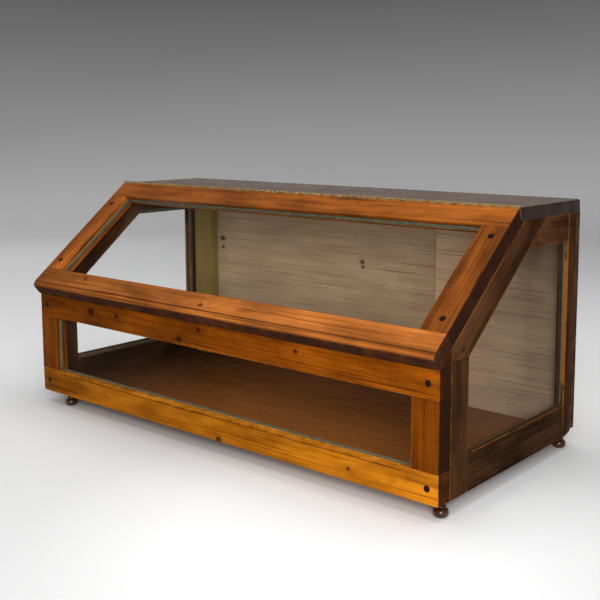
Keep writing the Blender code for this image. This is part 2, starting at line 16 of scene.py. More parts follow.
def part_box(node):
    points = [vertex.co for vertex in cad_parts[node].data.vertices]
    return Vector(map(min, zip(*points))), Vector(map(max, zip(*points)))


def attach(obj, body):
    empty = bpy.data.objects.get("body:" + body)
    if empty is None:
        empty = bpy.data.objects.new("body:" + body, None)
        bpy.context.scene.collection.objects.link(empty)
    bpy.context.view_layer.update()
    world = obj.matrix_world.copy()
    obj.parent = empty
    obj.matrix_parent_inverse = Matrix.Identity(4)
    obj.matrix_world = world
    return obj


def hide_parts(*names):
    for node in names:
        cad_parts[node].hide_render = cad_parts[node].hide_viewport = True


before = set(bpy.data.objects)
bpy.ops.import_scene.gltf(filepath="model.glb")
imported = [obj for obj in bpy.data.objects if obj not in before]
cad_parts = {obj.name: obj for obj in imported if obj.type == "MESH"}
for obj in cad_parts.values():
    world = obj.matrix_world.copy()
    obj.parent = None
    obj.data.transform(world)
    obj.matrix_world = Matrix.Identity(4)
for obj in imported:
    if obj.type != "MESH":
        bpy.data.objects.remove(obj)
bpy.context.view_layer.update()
RNG = random.Random(7)

MM = 0.001
X, Y, Z = Vector((1, 0, 0)), Vector((0, 1, 0)), Vector((0, 0, 1))


def low(node):
    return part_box(node)[0]


def high(node):
    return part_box(node)[1]


def middle(node):
    corner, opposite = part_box(node)
    return (corner + opposite) / 2


LEFT, RIGHT = low("top_board").x, high("top_board").x
WIDTH = RIGHT - LEFT
FRONT, BACK = low("front_bottom_rail").y, high("top_board").y
BOTTOM, TOP = low("front_bottom_rail").z, high("top_board").z


def points_of(node):
    return [vertex.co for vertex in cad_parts[node].data.vertices]


def largest_face_normal(node):
    """Normal of the widest flat side of a CAD node, pointing upwards."""
    areas = {}
    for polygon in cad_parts[node].data.polygons:
        normal = polygon.normal if polygon.normal.z > 0 else -polygon.normal
        key = tuple(round(value, 3) for value in normal)
        areas[key] = areas.get(key, 0) + polygon.area
    return Vector(max(areas, key=areas.get)).normalized()


LID_UP = largest_face_normal("lid_glass")  # out of the lid's face
UPHILL = X.cross(LID_UP) * (1 if X.cross(LID_UP).z > 0 else -1)  # up the lid's slope


def farthest(node, direction):
    """How far a CAD node reaches along a direction."""
    return max(point.dot(direction) for point in points_of(node))


def add_object(name, data):
    obj = bpy.data.objects.new(name, data)
    bpy.context.scene.collection.objects.link(obj)
    return obj


# --- Camera ---

CAMERA_AT = Vector((1.194, -1.328, 0.577))
CAMERA_AZIMUTH, CAMERA_RISE, CAMERA_ROLL = 39.87, 7.30, -0.08  # degrees
CAMERA_LENS, CAMERA_SHIFT = 57.44, (-0.033, -0.096)


def make_camera():
    data = bpy.data.cameras.new("camera")
    data.sensor_width = 36
    data.lens = CAMERA_LENS
    data.shift_x, data.shift_y = CAMERA_SHIFT
    camera = add_object("camera", data)
    placing = Matrix.Translation(CAMERA_AT)
    for angle, axis in ((CAMERA_AZIMUTH, "Z"), (90 - CAMERA_RISE, "X"), (CAMERA_ROLL, "Z")):
        placing = placing @ Matrix.Rotation(radians(angle), 4, axis)
    camera.matrix_world = placing
    bpy.context.scene.camera = camera


# --- Shader building ---


class Signal:
    """What comes out of a shader node, for plain arithmetic with numbers and signals."""

    def __init__(self, graph, socket):
        self.graph, self.socket = graph, socket

    def __add__(self, other):
        return self.graph.combine("ADD", self, other)

    def __sub__(self, other):
        return self.graph.combine("SUBTRACT", self, other)

    def __rsub__(self, other):
        return self.graph.combine("SUBTRACT", other, self)

    def __mul__(self, other):
        return self.graph.combine("MULTIPLY", self, other)

    def __truediv__(self, other):
        return self.graph.combine("DIVIDE", self, other)


def is_vector(value):
    if isinstance(value, Signal):
        return value.socket.type == "VECTOR"
    return isinstance(value, tuple)


class Graph:
    """Adds shader nodes to a tree in short calls."""

    def __init__(self, tree):
        self.tree = tree
        tree.nodes.clear()

    def make(self, kind, inputs=(), **settings):
        node = self.tree.nodes.new(kind)
        for key, value in settings.items():
            setattr(node, key, value)
        for key, value in dict(inputs).items():
            socket = node.inputs[key]
            if isinstance(value, Signal):
                self.tree.links.new(value.socket, socket)
            elif value is not None:
                socket.default_value = (*value, 1) if socket.type == "RGBA" else value
        return node

    def add(self, kind, inputs=(), output=0, **settings):
        return Signal(self, self.make(kind, inputs, **settings).outputs[output])

    def combine(self, operation, a, b=None, clamp=False):
        """Arithmetic on numbers, or on vectors if there is a vector."""
        inputs = {0: a, 1: b}
        if is_vector(a) or is_vector(b):
            output = "Value" if operation == "LENGTH" else "Vector"
            return self.add("ShaderNodeVectorMath", inputs, output, operation=operation)
        return self.add("ShaderNodeMath", inputs, operation=operation, use_clamp=clamp)

    def length(self, vector):
        return self.combine("LENGTH", vector)

    def larger(self, a, b):
        return self.combine("MAXIMUM", a, b)

    def mix(self, factor, a, b, blend="MIX"):
        inputs = {0: factor, 6: a, 7: b}  # sockets 6 and 7 hold the colours
        return self.add("ShaderNodeMix", inputs, 2, data_type="RGBA", blend_type=blend)

    def between(self, value, start, end, to_start=0.0, to_end=1.0):
        """Maps value from one span to another, smoothly and clamped."""
        inputs = {0: value, 1: start, 2: end, 3: to_start, 4: to_end}
        return self.add("ShaderNodeMapRange", inputs, interpolation_type="SMOOTHSTEP")

    def noise(self, vector, detail, rough=0.5, scale=1.0, colour=False):
        inputs = {"Vector": vector, "Scale": scale, "Detail": detail, "Roughness": rough}
        return self.add("ShaderNodeTexNoise", inputs, "Color" if colour else "Fac")

    def vector_noise(self, vector, detail, scale=1.0):
        """Noise in three directions, about zero."""
        return self.noise(vector, detail, 0.5, scale, colour=True) - (0.5, 0.5, 0.5)

    def attribute(self, name):
        return self.add("ShaderNodeAttribute", (), "Fac", attribute_name=name)

    def ramp(self, factor, stops):
        """Greys at places along the factor, as (place, grey)."""
        node = self.make("ShaderNodeValToRGB", {0: factor})
        elements = node.color_ramp.elements
        while len(elements) < len(stops):
            elements.new(1)
        for element, (position, grey) in zip(elements, stops):
            element.position = position
            element.color = (grey, grey, grey, 1)
        return Signal(self, node.outputs["Color"])

    def group(self, tree, inputs):
        """A group's node; gives its outputs by name."""
        node = self.make("ShaderNodeGroup", inputs, node_tree=tree)
        return {socket.name: Signal(self, socket) for socket in node.outputs}

    def surface(self, shader):
        self.make("ShaderNodeOutputMaterial", {"Surface": shader})

    def principled(self, colour, roughness, relief=None, more=()):
        """The material's surface. relief is (height, bump strength, depth)."""
        inputs = {"Base Color": colour, "Roughness": roughness, **dict(more)}
        if relief:
            height, strength, depth = relief
            bump = {"Strength": strength, "Distance": depth, "Height": height}
            inputs["Normal"] = self.add("ShaderNodeBump", bump)
        self.surface(self.add("ShaderNodeBsdfPrincipled", inputs))


def new_material(name):
    """A material, the graph of its nodes, and the coordinates of the piece it is on."""
    material = bpy.data.materials.new(name)
    material.use_nodes = True
    g = Graph(material.node_tree)
    return material, g, g.add("ShaderNodeTexCoord", output="Object")


SOCKET_KINDS = {"Vector": "Vector", "Centre": "Vector", "Pith": "Vector", "Light": "Color",
                "Mid": "Color", "Dark": "Color", "Worn": "Color", "Color": "Color"}


def new_group(name, inputs, outputs):
    """A node group, the graph of its nodes, and its inputs by name."""
    tree = bpy.data.node_groups.new(name, "ShaderNodeTree")
    for way, keys in (("INPUT", inputs), ("OUTPUT", outputs)):
        for key in keys:
            kind = "NodeSocket" + SOCKET_KINDS.get(key, "Float")
            tree.interface.new_socket(key, in_out=way, socket_type=kind)
    g = Graph(tree)
    sockets = g.make("NodeGroupInput").outputs
    return tree, g, {socket.name: Signal(g, socket) for socket in sockets}


def make_knot_group():
    """One knot: the rings bend round it, and its heart is dark with a darker rim."""
    inputs = ("Vector", "Centre", "Radius", "Warp In", "Heart In")
    tree, g, given = new_group("knot", inputs, ("Warp", "Heart"))
    ragged = g.vector_noise(given["Vector"], 3, 260) * (0.004, 0.004, 0)
    offset = given["Vector"] + ragged - given["Centre"]
    reach = g.length(offset * (0.8, 1, 0.2)) / given["Radius"]
    swell = g.length(offset * (0.33, 1, 0.2)) / given["Radius"]
    bend = g.between(swell, 4.0, 0.4, 0.0, 1.6)
    heart = g.between(reach, 1.08, 0.88) - g.between(reach, 0.80, 0.45, 0.0, 0.15)
    halo = g.between(reach, 2.4, 0.95, 0.0, 0.30)
    g.make("NodeGroupOutput", {
        "Warp": given["Warp In"] + bend,
        "Heart": g.larger(given["Heart In"], g.larger(heart, halo)),
    })
    return tree


PALETTE_INPUTS = ("Light", "Mid", "Dark", "Worn", "Figure", "Fibre", "Patina", "Gloss")
WOOD_INPUTS = ("Vector", "Pith", "Ring", *PALETTE_INPUTS, "Warp", "Heart")
YEAR = [(0.0, 0.15), (0.35, 0.05), (0.70, 0.45), (0.86, 1.0), (0.93, 0.7), (1.0, 0.15)]
POCK_COLOUR = (0.012, 0.006, 0.004)
HEART_COLOUR = (0.020, 0.006, 0.003)
# dirt's colours, which also paint shade where the grime mask carries it
DIRT_AND_SHADE_STAIN, DIRT_AND_SHADE_COLOUR = (0.12, 0.09, 0.07), (0.026, 0.013, 0.008)


def make_wood_group():
    """Old pine: growth rings, fibres, patina, knots, dents, scratches and worn arrises.

    The grain runs along X of the vector. Vertex attributes say where the arrises are worn
    (also a painted highlight) and where dirt has gathered (also painted shade).
    """
    tree, g, given = new_group("aged_wood", WOOD_INPUTS, ("Color", "Roughness", "Height", "Free Of Dirt And Shade"))
    place, figure, patina, heart = (given[key] for key in ("Vector", "Figure", "Patina", "Heart"))
    dark, worn_and_lit = given["Dark"], given["Worn"]

    bent = g.vector_noise(place * (1.3, 3.5, 3.5), 2) * (0, 0.018, 0.018)
    shaken = g.vector_noise(place * (8, 28, 28), 3) * (0, 0.0018, 0.0018)
    across = (place - given["Pith"]) * (0, 1, 1) + (bent + shaken)
    year = g.combine("FRACT", g.length(across) / given["Ring"] + given["Warp"])
    ring = g.ramp(year, YEAR)

    fine = g.noise(place * (14, 900, 900), 3, 0.6)
    coarse = g.noise(place * (5, 190, 190), 3, 0.6)
    fibre = fine * 0.45 + coarse * 0.55
    thread = g.noise(place * (3.5, 430, 430), 2, 0.6)
    band = g.noise(place * (1.4, 70, 70), 2)
    cloud = g.noise(place * (7, 22, 22), 3, 0.55)
    smudge = g.noise(place, 4, 0.65, 34)

    tone = ring * figure + (fibre - 0.5) * given["Fibre"] * 1.9
    tone = g.combine("ADD", tone, (band - 0.5) * figure * 2.6, clamp=True)
    colour = g.mix(tone, given["Light"], given["Mid"])
    streak = g.larger(g.between(coarse, 0.58, 0.76), g.between(thread, 0.55, 0.71))
    streak = g.combine("MULTIPLY", streak, figure * 1.7, clamp=True)
    colour = g.mix(streak, colour, dark)

    stain = g.between(cloud, 0.30, 0.72, 1.0, 0.0) * patina
    colour = g.mix(stain, colour, g.mix(1.0, colour, dark, "MULTIPLY"))
    soot = g.between(smudge, 0.56, 0.78, 0.0, 0.55)
    colour = g.mix(soot * patina, colour, dark)

    cells = g.make("ShaderNodeTexVoronoi", {"Vector": place, "Scale": 105.0}).outputs
    draw = g.add("ShaderNodeSeparateColor", {0: Signal(g, cells["Color"])})
    rare = g.combine("GREATER_THAN", draw, 0.90)
    pock = g.between(Signal(g, cells["Distance"]), 0.13, 0.06) * rare * (patina * 1.5)
    turned = g.add("ShaderNodeMapping", {"Vector": place, "Rotation": (0.9, 0.6, 0.8)})
    lines = g.noise(turned * (7, 260, 7), 1)
    scratch = g.between(lines, 0.755, 0.775) * g.between(smudge, 0.50, 0.65)
    colour = g.mix(pock * 0.9, colour, POCK_COLOUR)
    colour = g.mix(scratch * 0.2, colour, worn_and_lit)
    colour = g.mix(heart * 0.96, colour, HEART_COLOUR)

    wear = g.attribute("wear")
    # worn arrises, and on the chamfer a painted highlight, in the worn colour
    rubbed = g.noise(place * (60, 130, 130), 4, 0.6) + wear * 0.40
    rubbed = g.between(rubbed, 0.60, 0.85) * wear
    colour = g.mix(rubbed * 0.48, colour, worn_and_lit)
    # the grime mask: real dirt, and in places painted shade
    dirt_and_shade = g.attribute("grime") * g.between(smudge, 0.25, 0.6, 0.90, 1.0) * (1.0 - rubbed * 0.8)
    caked_and_shaded = g.mix(dirt_and_shade * 0.6, g.mix(1.0, colour, DIRT_AND_SHADE_STAIN, "MULTIPLY"), DIRT_AND_SHADE_COLOUR)

    gloss = given["Gloss"] + (smudge - 0.5) * 0.28 + rubbed * 0.15 + scratch * 0.2
    g.make("NodeGroupOutput", {
        "Color": g.mix(dirt_and_shade, colour, caked_and_shaded),
        "Roughness": g.combine("ADD", gloss, dirt_and_shade * 0.25, clamp=True),
        "Height": (fibre * 0.5 + ring * 0.16 + smudge * 0.5
                   - pock * 1.2 - scratch * 0.5 - heart * 0.25),
        "Free Of Dirt And Shade": 1.0 - dirt_and_shade * 0.85,
    })
    return tree


KNOT_GROUP = make_knot_group()
WOOD_GROUP = make_wood_group()
WOOD_RELIEF = 0.4 * MM

# Each palette: light, mid, dark and worn colours (the worn colour also paints the chamfer's
# highlight), then the strength of figure, fibres and patina, the gloss (a roughness), the bump and
# the varnish's shine.
PALETTES = {
    "lid": ((0.43, 0.118, 0.012), (0.2, 0.048, 0.006), (0.05, 0.013, 0.003),
            (0.64, 0.27, 0.07), 0.5, 1.2, 0.6, 0.36, 0.5, 0.08),
    # A lighter copy of the lid's wood for its bottom rail: painted light, as the light falls off
    # up the lid.
    "lid_low_lit": ((0.44, 0.138, 0.022), (0.22, 0.062, 0.01), (0.06, 0.016, 0.004),
                (0.7, 0.31, 0.09), 0.5, 1.2, 0.6, 0.34, 0.5, 0.1),
    "front": ((0.3, 0.073, 0.002), (0.15, 0.034, 0.001), (0.04, 0.009, 0.001),
              (0.55, 0.21, 0.03), 0.45, 1.15, 0.6, 0.4, 0.45, 0.02),
    # A lighter copy of the front's wood for the bottom rail: partly its own tone, partly painted
    # light, as the top rail lies in the lid's shade.
    "front_low_lit": ((0.52, 0.175, 0.006), (0.29, 0.084, 0.003), (0.08, 0.021, 0.002),
                  (0.72, 0.29, 0.04), 0.45, 1.15, 0.6, 0.4, 0.45, 0.02),
    "side": ((0.112, 0.046, 0.017), (0.057, 0.022, 0.009), (0.016, 0.007, 0.004),
             (0.42, 0.15, 0.02), 0.55, 1.3, 0.7, 0.44, 0.55, 0.004),
    # The top board's paler greyish brown: its faded tone, and partly a painted sheen of the grey
    # backdrop it mirrors.
    "top": ((0.205, 0.115, 0.078), (0.118, 0.063, 0.044), (0.042, 0.023, 0.016),
            (0.36, 0.26, 0.22), 0.45, 1.0, 0.45, 0.24, 0.35, 1.0),
    "back": ((0.5, 0.345, 0.21), (0.385, 0.26, 0.155), (0.2, 0.132, 0.08),
             (0.14, 0.09, 0.05), 0.42, 1.7, 0.24, 0.62, 0.5, 0.12),
    "base": ((0.225, 0.069, 0.01), (0.13, 0.038, 0.006), (0.058, 0.017, 0.004),
             (0.1, 0.03, 0.01), 0.45, 0.9, 0.12, 0.34, 0.02, 0.12),
    "foot": ((0.06, 0.018, 0.002), (0.028, 0.008, 0.001), (0.01, 0.003, 0.001),
             (0.26, 0.11, 0.02), 0.45, 0.5, 0.45, 0.08, 0.12, 0.45),
    "peg": ((0.014, 0.008, 0.006), (0.008, 0.005, 0.004), (0.004, 0.003, 0.002),
            (0.04, 0.02, 0.01), 0.5, 0.5, 0.4, 0.42, 0.6, 0.06),
}


def wood_material(name, palette, pith, ring, tint=1.0, knots=()):
    """A member's own material: the palette's wood, cut from its own part of the tree.

    knots are (centre in the member's own coordinates, radius). ring is in millimetres.
    """
    *looks, bump, shine = PALETTES[palette]
    looks = dict(zip(PALETTE_INPUTS, looks))
    for key in ("Light", "Mid", "Dark"):
        looks[key] = tuple(tint * value for value in looks[key])
    shift = tuple(RNG.uniform(-3, 3) for _ in range(3))
    material, g, place = new_material(name)
    warp, heart = 0.0, 0.0
    for centre, radius in knots:
        knot = g.group(KNOT_GROUP, {"Vector": place, "Centre": centre, "Radius": radius,
                                    "Warp In": warp, "Heart In": heart})
        warp, heart = knot["Warp"], knot["Heart"]
    wood = g.group(WOOD_GROUP, {
        **looks, "Vector": place + shift, "Pith": Vector(shift) + Vector(pith),
        "Ring": ring * MM, "Warp": warp, "Heart": heart,
    })
    g.principled(wood["Color"], wood["Roughness"], (wood["Height"], bump, WOOD_RELIEF),
                 {"Specular IOR Level": wood["Free Of Dirt And Shade"] * shine})
    return material



def plain_material(name, colours, scale, roughness, metallic=0.0, bump=0.3):
    """A material that wavers between three colours: for putty, glass edges and metal."""
    material, g, place = new_material(name)
    broad = g.noise(place, 4, 0.6, scale)
    small = g.noise(place, 3, 0.6, scale * 9)
    colour = g.mix(g.between(broad, 0.35, 0.65), colours[0], colours[1])
    colour = g.mix(g.between(small, 0.50, 0.72, 0.0, 0.8), colour, colours[2])
    rough = g.between(small, 0.3, 0.7, roughness * 0.8, min(1.0, roughness * 1.35))
    g.principled(colour, rough, (broad + small * 0.6, bump, 0.3 * MM), {"Metallic": metallic})
    return material


def paint_material():
    """Old green paint, rubbed through to brown wood and cream undercoat along the corners."""
    material, g, place = new_material("green_paint_worn")
    brush = g.noise(place * (6, 160, 160), 3, 0.6)
    patch = g.noise(place * (12, 40, 40), 4, 0.65)
    wear = g.attribute("wear")
    colour = g.mix(brush, (0.145, 0.104, 0.022), (0.265, 0.178, 0.048))
    gone = g.between(patch + wear * 0.28, 0.60, 0.68)
    colour = g.mix(gone, colour, (0.260, 0.150, 0.055))
    cream = g.between(patch + wear * 0.30, 0.78, 0.84)
    colour = g.mix(cream, colour, (0.42, 0.33, 0.18))
    g.principled(colour, g.between(brush, 0.2, 0.8, 0.42, 0.62),
                 (brush * 0.5 - gone, 0.5, WOOD_RELIEF), {"Specular IOR Level": 0.1})
    return material


GLASS_IOR = 1.45
GLASS_SHINE = 0.18  # the studio's light is polarised, so the panes mirror little of it
GLASS_DULL = 0.045  # mirror share that the polariser takes away at every angle


def glass_material():
    """Old window glass: clear straight through, with mirror shine, faint green and dust."""
    material, g, place = new_material("old_glass")
    film = g.noise(place, 4, 0.6, 14)
    tint = g.mix(g.between(film, 0.3, 0.7), (0.999, 1.000, 0.999), (0.990, 0.995, 0.991))
    clear = g.add("ShaderNodeBsdfTransparent", {"Color": tint})
    gloss = g.between(film, 0.3, 0.7, 0.015, 0.05)
    mirror = g.add("ShaderNodeBsdfGlossy", {"Color": (1, 1, 1), "Roughness": gloss})
    # A ray leaves a pane at the angle it came in, so both faces mirror it alike.
    behind = g.add("ShaderNodeNewGeometry", output="Backfacing")
    bending = GLASS_IOR - behind * (GLASS_IOR - 1 / GLASS_IOR)
    share = g.add("ShaderNodeFresnel", {"IOR": bending}) - GLASS_DULL
    share = g.larger(share, 0.0) * GLASS_SHINE
    g.surface(g.add("ShaderNodeMixShader", {0: share, 1: clear, 2: mirror}))
    return material


# --- Mesh work ---

# Grain frames: the member's own X runs along the grain.
ALONG = Matrix.Identity(3)
UPRIGHT = Matrix((Z, X, Y)).transposed()
UPRIGHT_FRONT = Matrix((Z, X, -Y)).transposed()
DEEP = Matrix((Y, Z, X)).transposed()
SLOPING = Matrix((UPHILL, LID_UP.cross(UPHILL), LID_UP)).transposed()
ALONG_SLOPE = Matrix((X, UPHILL, LID_UP)).transposed()
ALONG_FRONT = Matrix((X, Z, -Y)).transposed()

ROWS = (0.8 * MM, 1.8 * MM, 3.4 * MM)  # extra rows of points beside every long arris
WEAR_REACH = 2.2 * MM
WEAR_LOST = 0.75  # how much of an arris's wear is hidden under dirt and painted shade
LEAST_RADIUS = 0.4 * MM
ON_PLANE = 0.01 * MM
SMOOTH_BELOW = radians(32)


def flat(direction, distance):
    """A plane with its inward normal; distance is along the outward normal."""
    outward = Vector(direction).normalized()
    return outward * distance, -outward


CASE_PLANES = [
    flat(-X, -LEFT), flat(X, RIGHT), flat(-Y, -FRONT), flat(Y, BACK), flat(-Z, -BOTTOM),
    flat(Z, TOP),
]
LID_PLANES = [
    flat(-X, -LEFT), flat(X, RIGHT), flat(LID_UP, farthest("lid_left_stile", LID_UP)),
    flat(-LID_UP, farthest("lid_left_stile", -LID_UP)),
    flat(-UPHILL, farthest("lid_bottom_rail", -UPHILL)),
]
LID_FACE, LID_FOOT = LID_PLANES[2][0], LID_PLANES[4][0]


def placed(node, grain):
    """Where a CAD node's own frame stands in the world."""
    return Matrix.Translation(middle(node)) @ grain.to_4x4()


def welded(node, grain):
    """A copy of a CAD node's mesh with clean flat faces, in its own grain frame."""
    bm = bmesh.new()
    bm.from_mesh(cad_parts[node].data)
    bmesh.ops.remove_doubles(bm, verts=bm.verts, dist=2e-6)
    bmesh.ops.dissolve_limit(bm, angle_limit=0.004, verts=bm.verts, edges=bm.edges)
    placing = placed(node, grain)
    bmesh.ops.transform(bm, matrix=placing.inverted(), verts=bm.verts)
    return bm, placing


def slice_across(bm, axis, positions):
    for position in positions:
        geometry = bm.verts[:] + bm.edges[:] + bm.faces[:]
        point, normal = [0, 0, 0], [0, 0, 0]
        point[axis], normal[axis] = position, 1
        bmesh.ops.bisect_plane(bm, geom=geometry, dist=1e-6, plane_co=point, plane_no=normal)


def span(bm, axis):
    values = [vertex.co[axis] for vertex in bm.verts]
    return min(values), max(values)


def slice_evenly(bm, axis, pitch):
    start, end = span(bm, axis)
    count = max(2, round((end - start) / pitch))
    slice_across(bm, axis, [start + (end - start) * i / count for i in range(1, count)])


def fractal(point, size):
    """Smooth noise of about -1 to 1, with bumps of that size in metres."""
    return noise.fractal(point / size, 1.0, 2.0, 3)


def add_rows(bm, pitch, rows):
    for axis in (0, 1, 2):
        start, end = span(bm, axis)
        if end - start > 4 * rows[-1]:
            slice_across(bm, axis, [start + row for row in rows] + [end - row for row in rows])
    slice_evenly(bm, 0, pitch)


def wear_down(bm, placing, planes, radius, seed, nicks, dished):
    """Rounds the arrises where the body's outer planes meet, with noise and nicks.

    nicks are (world point, reach, extra radius). Faces get a shallow waver too.
    """
    to_own = placing.inverted()
    bm.normal_update()
    for vertex in bm.verts:
        place = placing @ vertex.co
        where = place + Vector((seed, 0, 0))
        local_radius = radius * (0.9 + 0.35 * fractal(where, 0.06) + 0.10 * fractal(where, 0.014))
        for point, reach, extra in nicks:
            local_radius += extra * exp(-((place - Vector(point)).length / reach) ** 2)
        local_radius = max(LEAST_RADIUS, local_radius)
        near = []
        for point, inward in planes:
            depth = (place - point).dot(inward)
            if -ON_PLANE < depth < local_radius:
                near.append((depth, inward))
        shift = Vector((0, 0, 0))
        if len(near) > 1:
            short = [local_radius - depth for depth, _ in near]
            length = sqrt(sum(value * value for value in short))
            if length > local_radius:
                for value, (_, inward) in zip(short, near):
                    shift += inward * value * (1 - local_radius / length)
        on_face = placing.to_3x3() @ vertex.normal
        hollow = 0.5 + 0.5 * fractal(where, 0.07)
        shift -= on_face * dished * max(0.0, hollow)
        vertex.co = to_own @ (place + shift)


def mark_wear(bm):
    """Stores how near each point is to an arris, and makes room for its grime and painted shade.
    """
    wear, grime = (bm.verts.layers.float.new(name) for name in ("wear", "grime"))
    spans = [span(bm, axis) for axis in (0, 1, 2)]
    for vertex in bm.verts:
        depths = sorted(min(vertex.co[axis] - start, end - vertex.co[axis])
                        for axis, (start, end) in enumerate(spans))
        vertex[wear] = max(0.0, 1 - depths[1] / WEAR_REACH)
    return wear, grime


def loft(bm, rings):
    """Joins rings of points with faces. A ring can be a single point."""
    for one, two in zip(rings, rings[1:]):
        sides = max(len(one), len(two))
        for i in range(sides):
            j = (i + 1) % sides
            if len(one) == 1:
                bm.faces.new((one[0], two[j], two[i]))
            elif len(two) == 1:
                bm.faces.new((one[i], one[j], two[0]))
            else:
                bm.faces.new((one[i], one[j], two[j], two[i]))


def loft_closed(bm, rings):
    """Joins rings of points, and closes both ends with flat faces."""
    loft(bm, rings)
    bm.faces.new(reversed(rings[0]))
    bm.faces.new(rings[-1])


def round_angles(sides):
    return [tau * i / sides for i in range(sides)]


def finish_piece(bm, name, material, body, node=None, placing=Matrix.Identity(4)):
    """Makes the mesh a piece that rides a body and stands for a CAD node, if one is given."""
    bmesh.ops.recalc_face_normals(bm, faces=bm.faces)
    mesh = bpy.data.meshes.new(name)
    bm.to_mesh(mesh)
    bm.free()
    mesh.shade_smooth()
    mesh.set_sharp_from_angle(angle=SMOOTH_BELOW)
    mesh.materials.append(material)
    piece = add_object(name, mesh)
    piece.matrix_world = placing
    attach(piece, body)
    if node:
        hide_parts(node)
    return piece


def timber(node, grain, material, slot, body="case", radius=1.4, pitch=6.0, seed=None,
           nicks=(), rows=ROWS, dirty_ends=0.0, dished=0.12, cuts=(), soil=None, rub=None,
           more_planes=()):
    """A worn copy of a wooden CAD member, which it replaces. Lengths in millimetres.

    cuts are extra rows of points, as (axis, distance from the low side, or minus the distance
    from the high side). Two optional functions give the grime, which also carries painted shade,
    and the wear, which also carries a painted highlight, at a point of the world.
    """
    bm, placing = welded(node, grain)
    add_rows(bm, pitch * MM, rows)
    for axis, distance in cuts:
        start, end = span(bm, axis)
        slice_across(bm, axis, [(start if distance > 0 else end) + distance * MM])
    wear, grime = mark_wear(bm)
    start, end = span(bm, 0)
    for vertex in bm.verts:
        place = placing @ vertex.co
        if dirty_ends:
            inside = min(vertex.co.x - start, end - vertex.co.x)
            vertex[grime] = max(0.0, 1 - inside / (dirty_ends * MM))
        if soil:
            dirt_and_shade_here = soil(place)
            vertex[grime] = max(vertex[grime], dirt_and_shade_here)
            vertex[wear] *= 1 - WEAR_LOST * dirt_and_shade_here
        if rub:
            vertex[wear] = max(vertex[wear], rub(place))
    planes = [*(LID_PLANES if body == "lid" else CASE_PLANES), *more_planes]
    seed = RNG.uniform(0, 9) if seed is None else seed
    wear_down(bm, placing, planes, radius * MM, seed, nicks, dished * MM)
    finish_piece(bm, node + "_timber", material, body, node, placing)


def on_front(along, up):
    """A point on the front face, in millimetres from its lower left corner."""
    return Vector((LEFT + along * MM, FRONT, BOTTOM + up * MM))


def on_lid(along, down):
    """A point on the lid's face, in millimetres from its upper left corner."""
    hinge = middle("hinge_pin")
    origin = hinge + LID_UP * (LID_FACE.dot(LID_UP) - hinge.dot(LID_UP))
    return Vector((LEFT + along * MM, origin.y, origin.z)) - UPHILL * down * MM


def member(node, grain, slot, palette, pith, ring, tint=1.0, knots=(), **shape):
    """A timber in its own wood. knots are (point of the world, radius in millimetres)."""
    to_own = placed(node, grain).inverted()
    knots = [(tuple(to_own @ Vector(point)), radius * MM) for point, radius in knots]
    material = wood_material(node, palette, pith, ring, tint, knots)
    timber(node, grain, material, slot, **shape)


# --- Timber members ---

END_SOIL, END_SOIL_DEPTH = 1.0, 1.4 * MM
# painted shade in the back boards' upper right corner: its strength, width and height
CORNER_SHADE, CORNER_SHADE_WIDTH, CORNER_SHADE_HEIGHT = 0.90, 225 * MM, 650 * MM
# painted shade on the base board towards its left end
BASE_SHADE, BASE_SHADE_WIDTH = 0.80, 420 * MM
NOSE_LINE = 10.2 * MM  # the moulding's step, from the lid's lower edge
CHAMFER_DEEP, CHAMFER_HIGH, CHAMFER_STOP = 8 * MM, 6 * MM, 69 * MM
FRONT_RAIL_TOP = high("front_bottom_rail").z
BACK_TOP = high("back_board_right").z
ENDS = (LEFT, 0, 0), (RIGHT, 0, 0)
RUBBED_FROM, RUBBED_TO = BOTTOM + 92 * MM, BOTTOM + 318 * MM  # bare wood beside the side pane


def faded(value, start, end):
    """Falls from 1 at start to 0 at end."""
    return min(1.0, max(0.0, (end - value) / (end - start)))


def from_ends(place):
    """How far a point is from the nearer end of the case."""
    return min(RIGHT - place.x, place.x - LEFT)


def end_soil(place):
    """Old dirt and polish on the faces at the case's two ends."""
    return END_SOIL * faded(from_ends(place), 0, END_SOIL_DEPTH)


def base_soil(place):
    """The base board is darker towards its left end: painted shade inside the case."""
    return BASE_SHADE * faded(place.x - LEFT, 0.2 * BASE_SHADE_WIDTH, BASE_SHADE_WIDTH)


def with_painted_falloff(soil, strength, start, end):
    """Adds to a dirt function a darkening that is strongest at start and clears towards end:
    painted shade for light that falls off towards start, and on the lid's bottom rail old varnish
    as well.
    """
    way = Vector(end) - Vector(start)

    def falloff_shaded(place):
        share = (place - Vector(start)).dot(way) / way.length_squared
        return max(soil(place), strength * faded(share, 0, 1))

    return falloff_shaded


def corner_soil(place):
    """The back boards darker towards the case's upper right inner corner, as painted shade under
    the top board; their right ends dirty.
    """
    across = faded(RIGHT - place.x, 0, CORNER_SHADE_WIDTH)
    up = faded(BACK_TOP - place.z, 0, CORNER_SHADE_HEIGHT)
    end = faded(RIGHT - place.x, END_SOIL_DEPTH, 3 * END_SOIL_DEPTH)
    return max(end, CORNER_SHADE * min(1.0, 1.6 * across) * min(1.0, 1.6 * up))


def nose_soil(place):
    """Dirt and painted shade in the moulding's step, old varnish beside it, and painted shade over
    the lid's down-facing lower edge.
    """
    from_edge = (place - LID_FOOT).dot(UPHILL)
    depth = (LID_FACE - place).dot(LID_UP)
    from_step, below = abs(from_edge - NOSE_LINE), faded(depth, 2 * MM, 4 * MM)
    # the step's dark line: dirt, and painted shade in the step
    step = 0.9 * faded(from_step, 0.3 * MM, 1.2 * MM) * below
    haze = 0.55 * faded(from_step, 1 * MM, 8 * MM) * below
    # painted shade on the nose's underside and end, which face down
    edge = faded(-depth, -7 * MM, -3 * MM) * faded(from_edge, 3 * MM, 5 * MM)
    return max(step, haze, edge, end_soil(place))


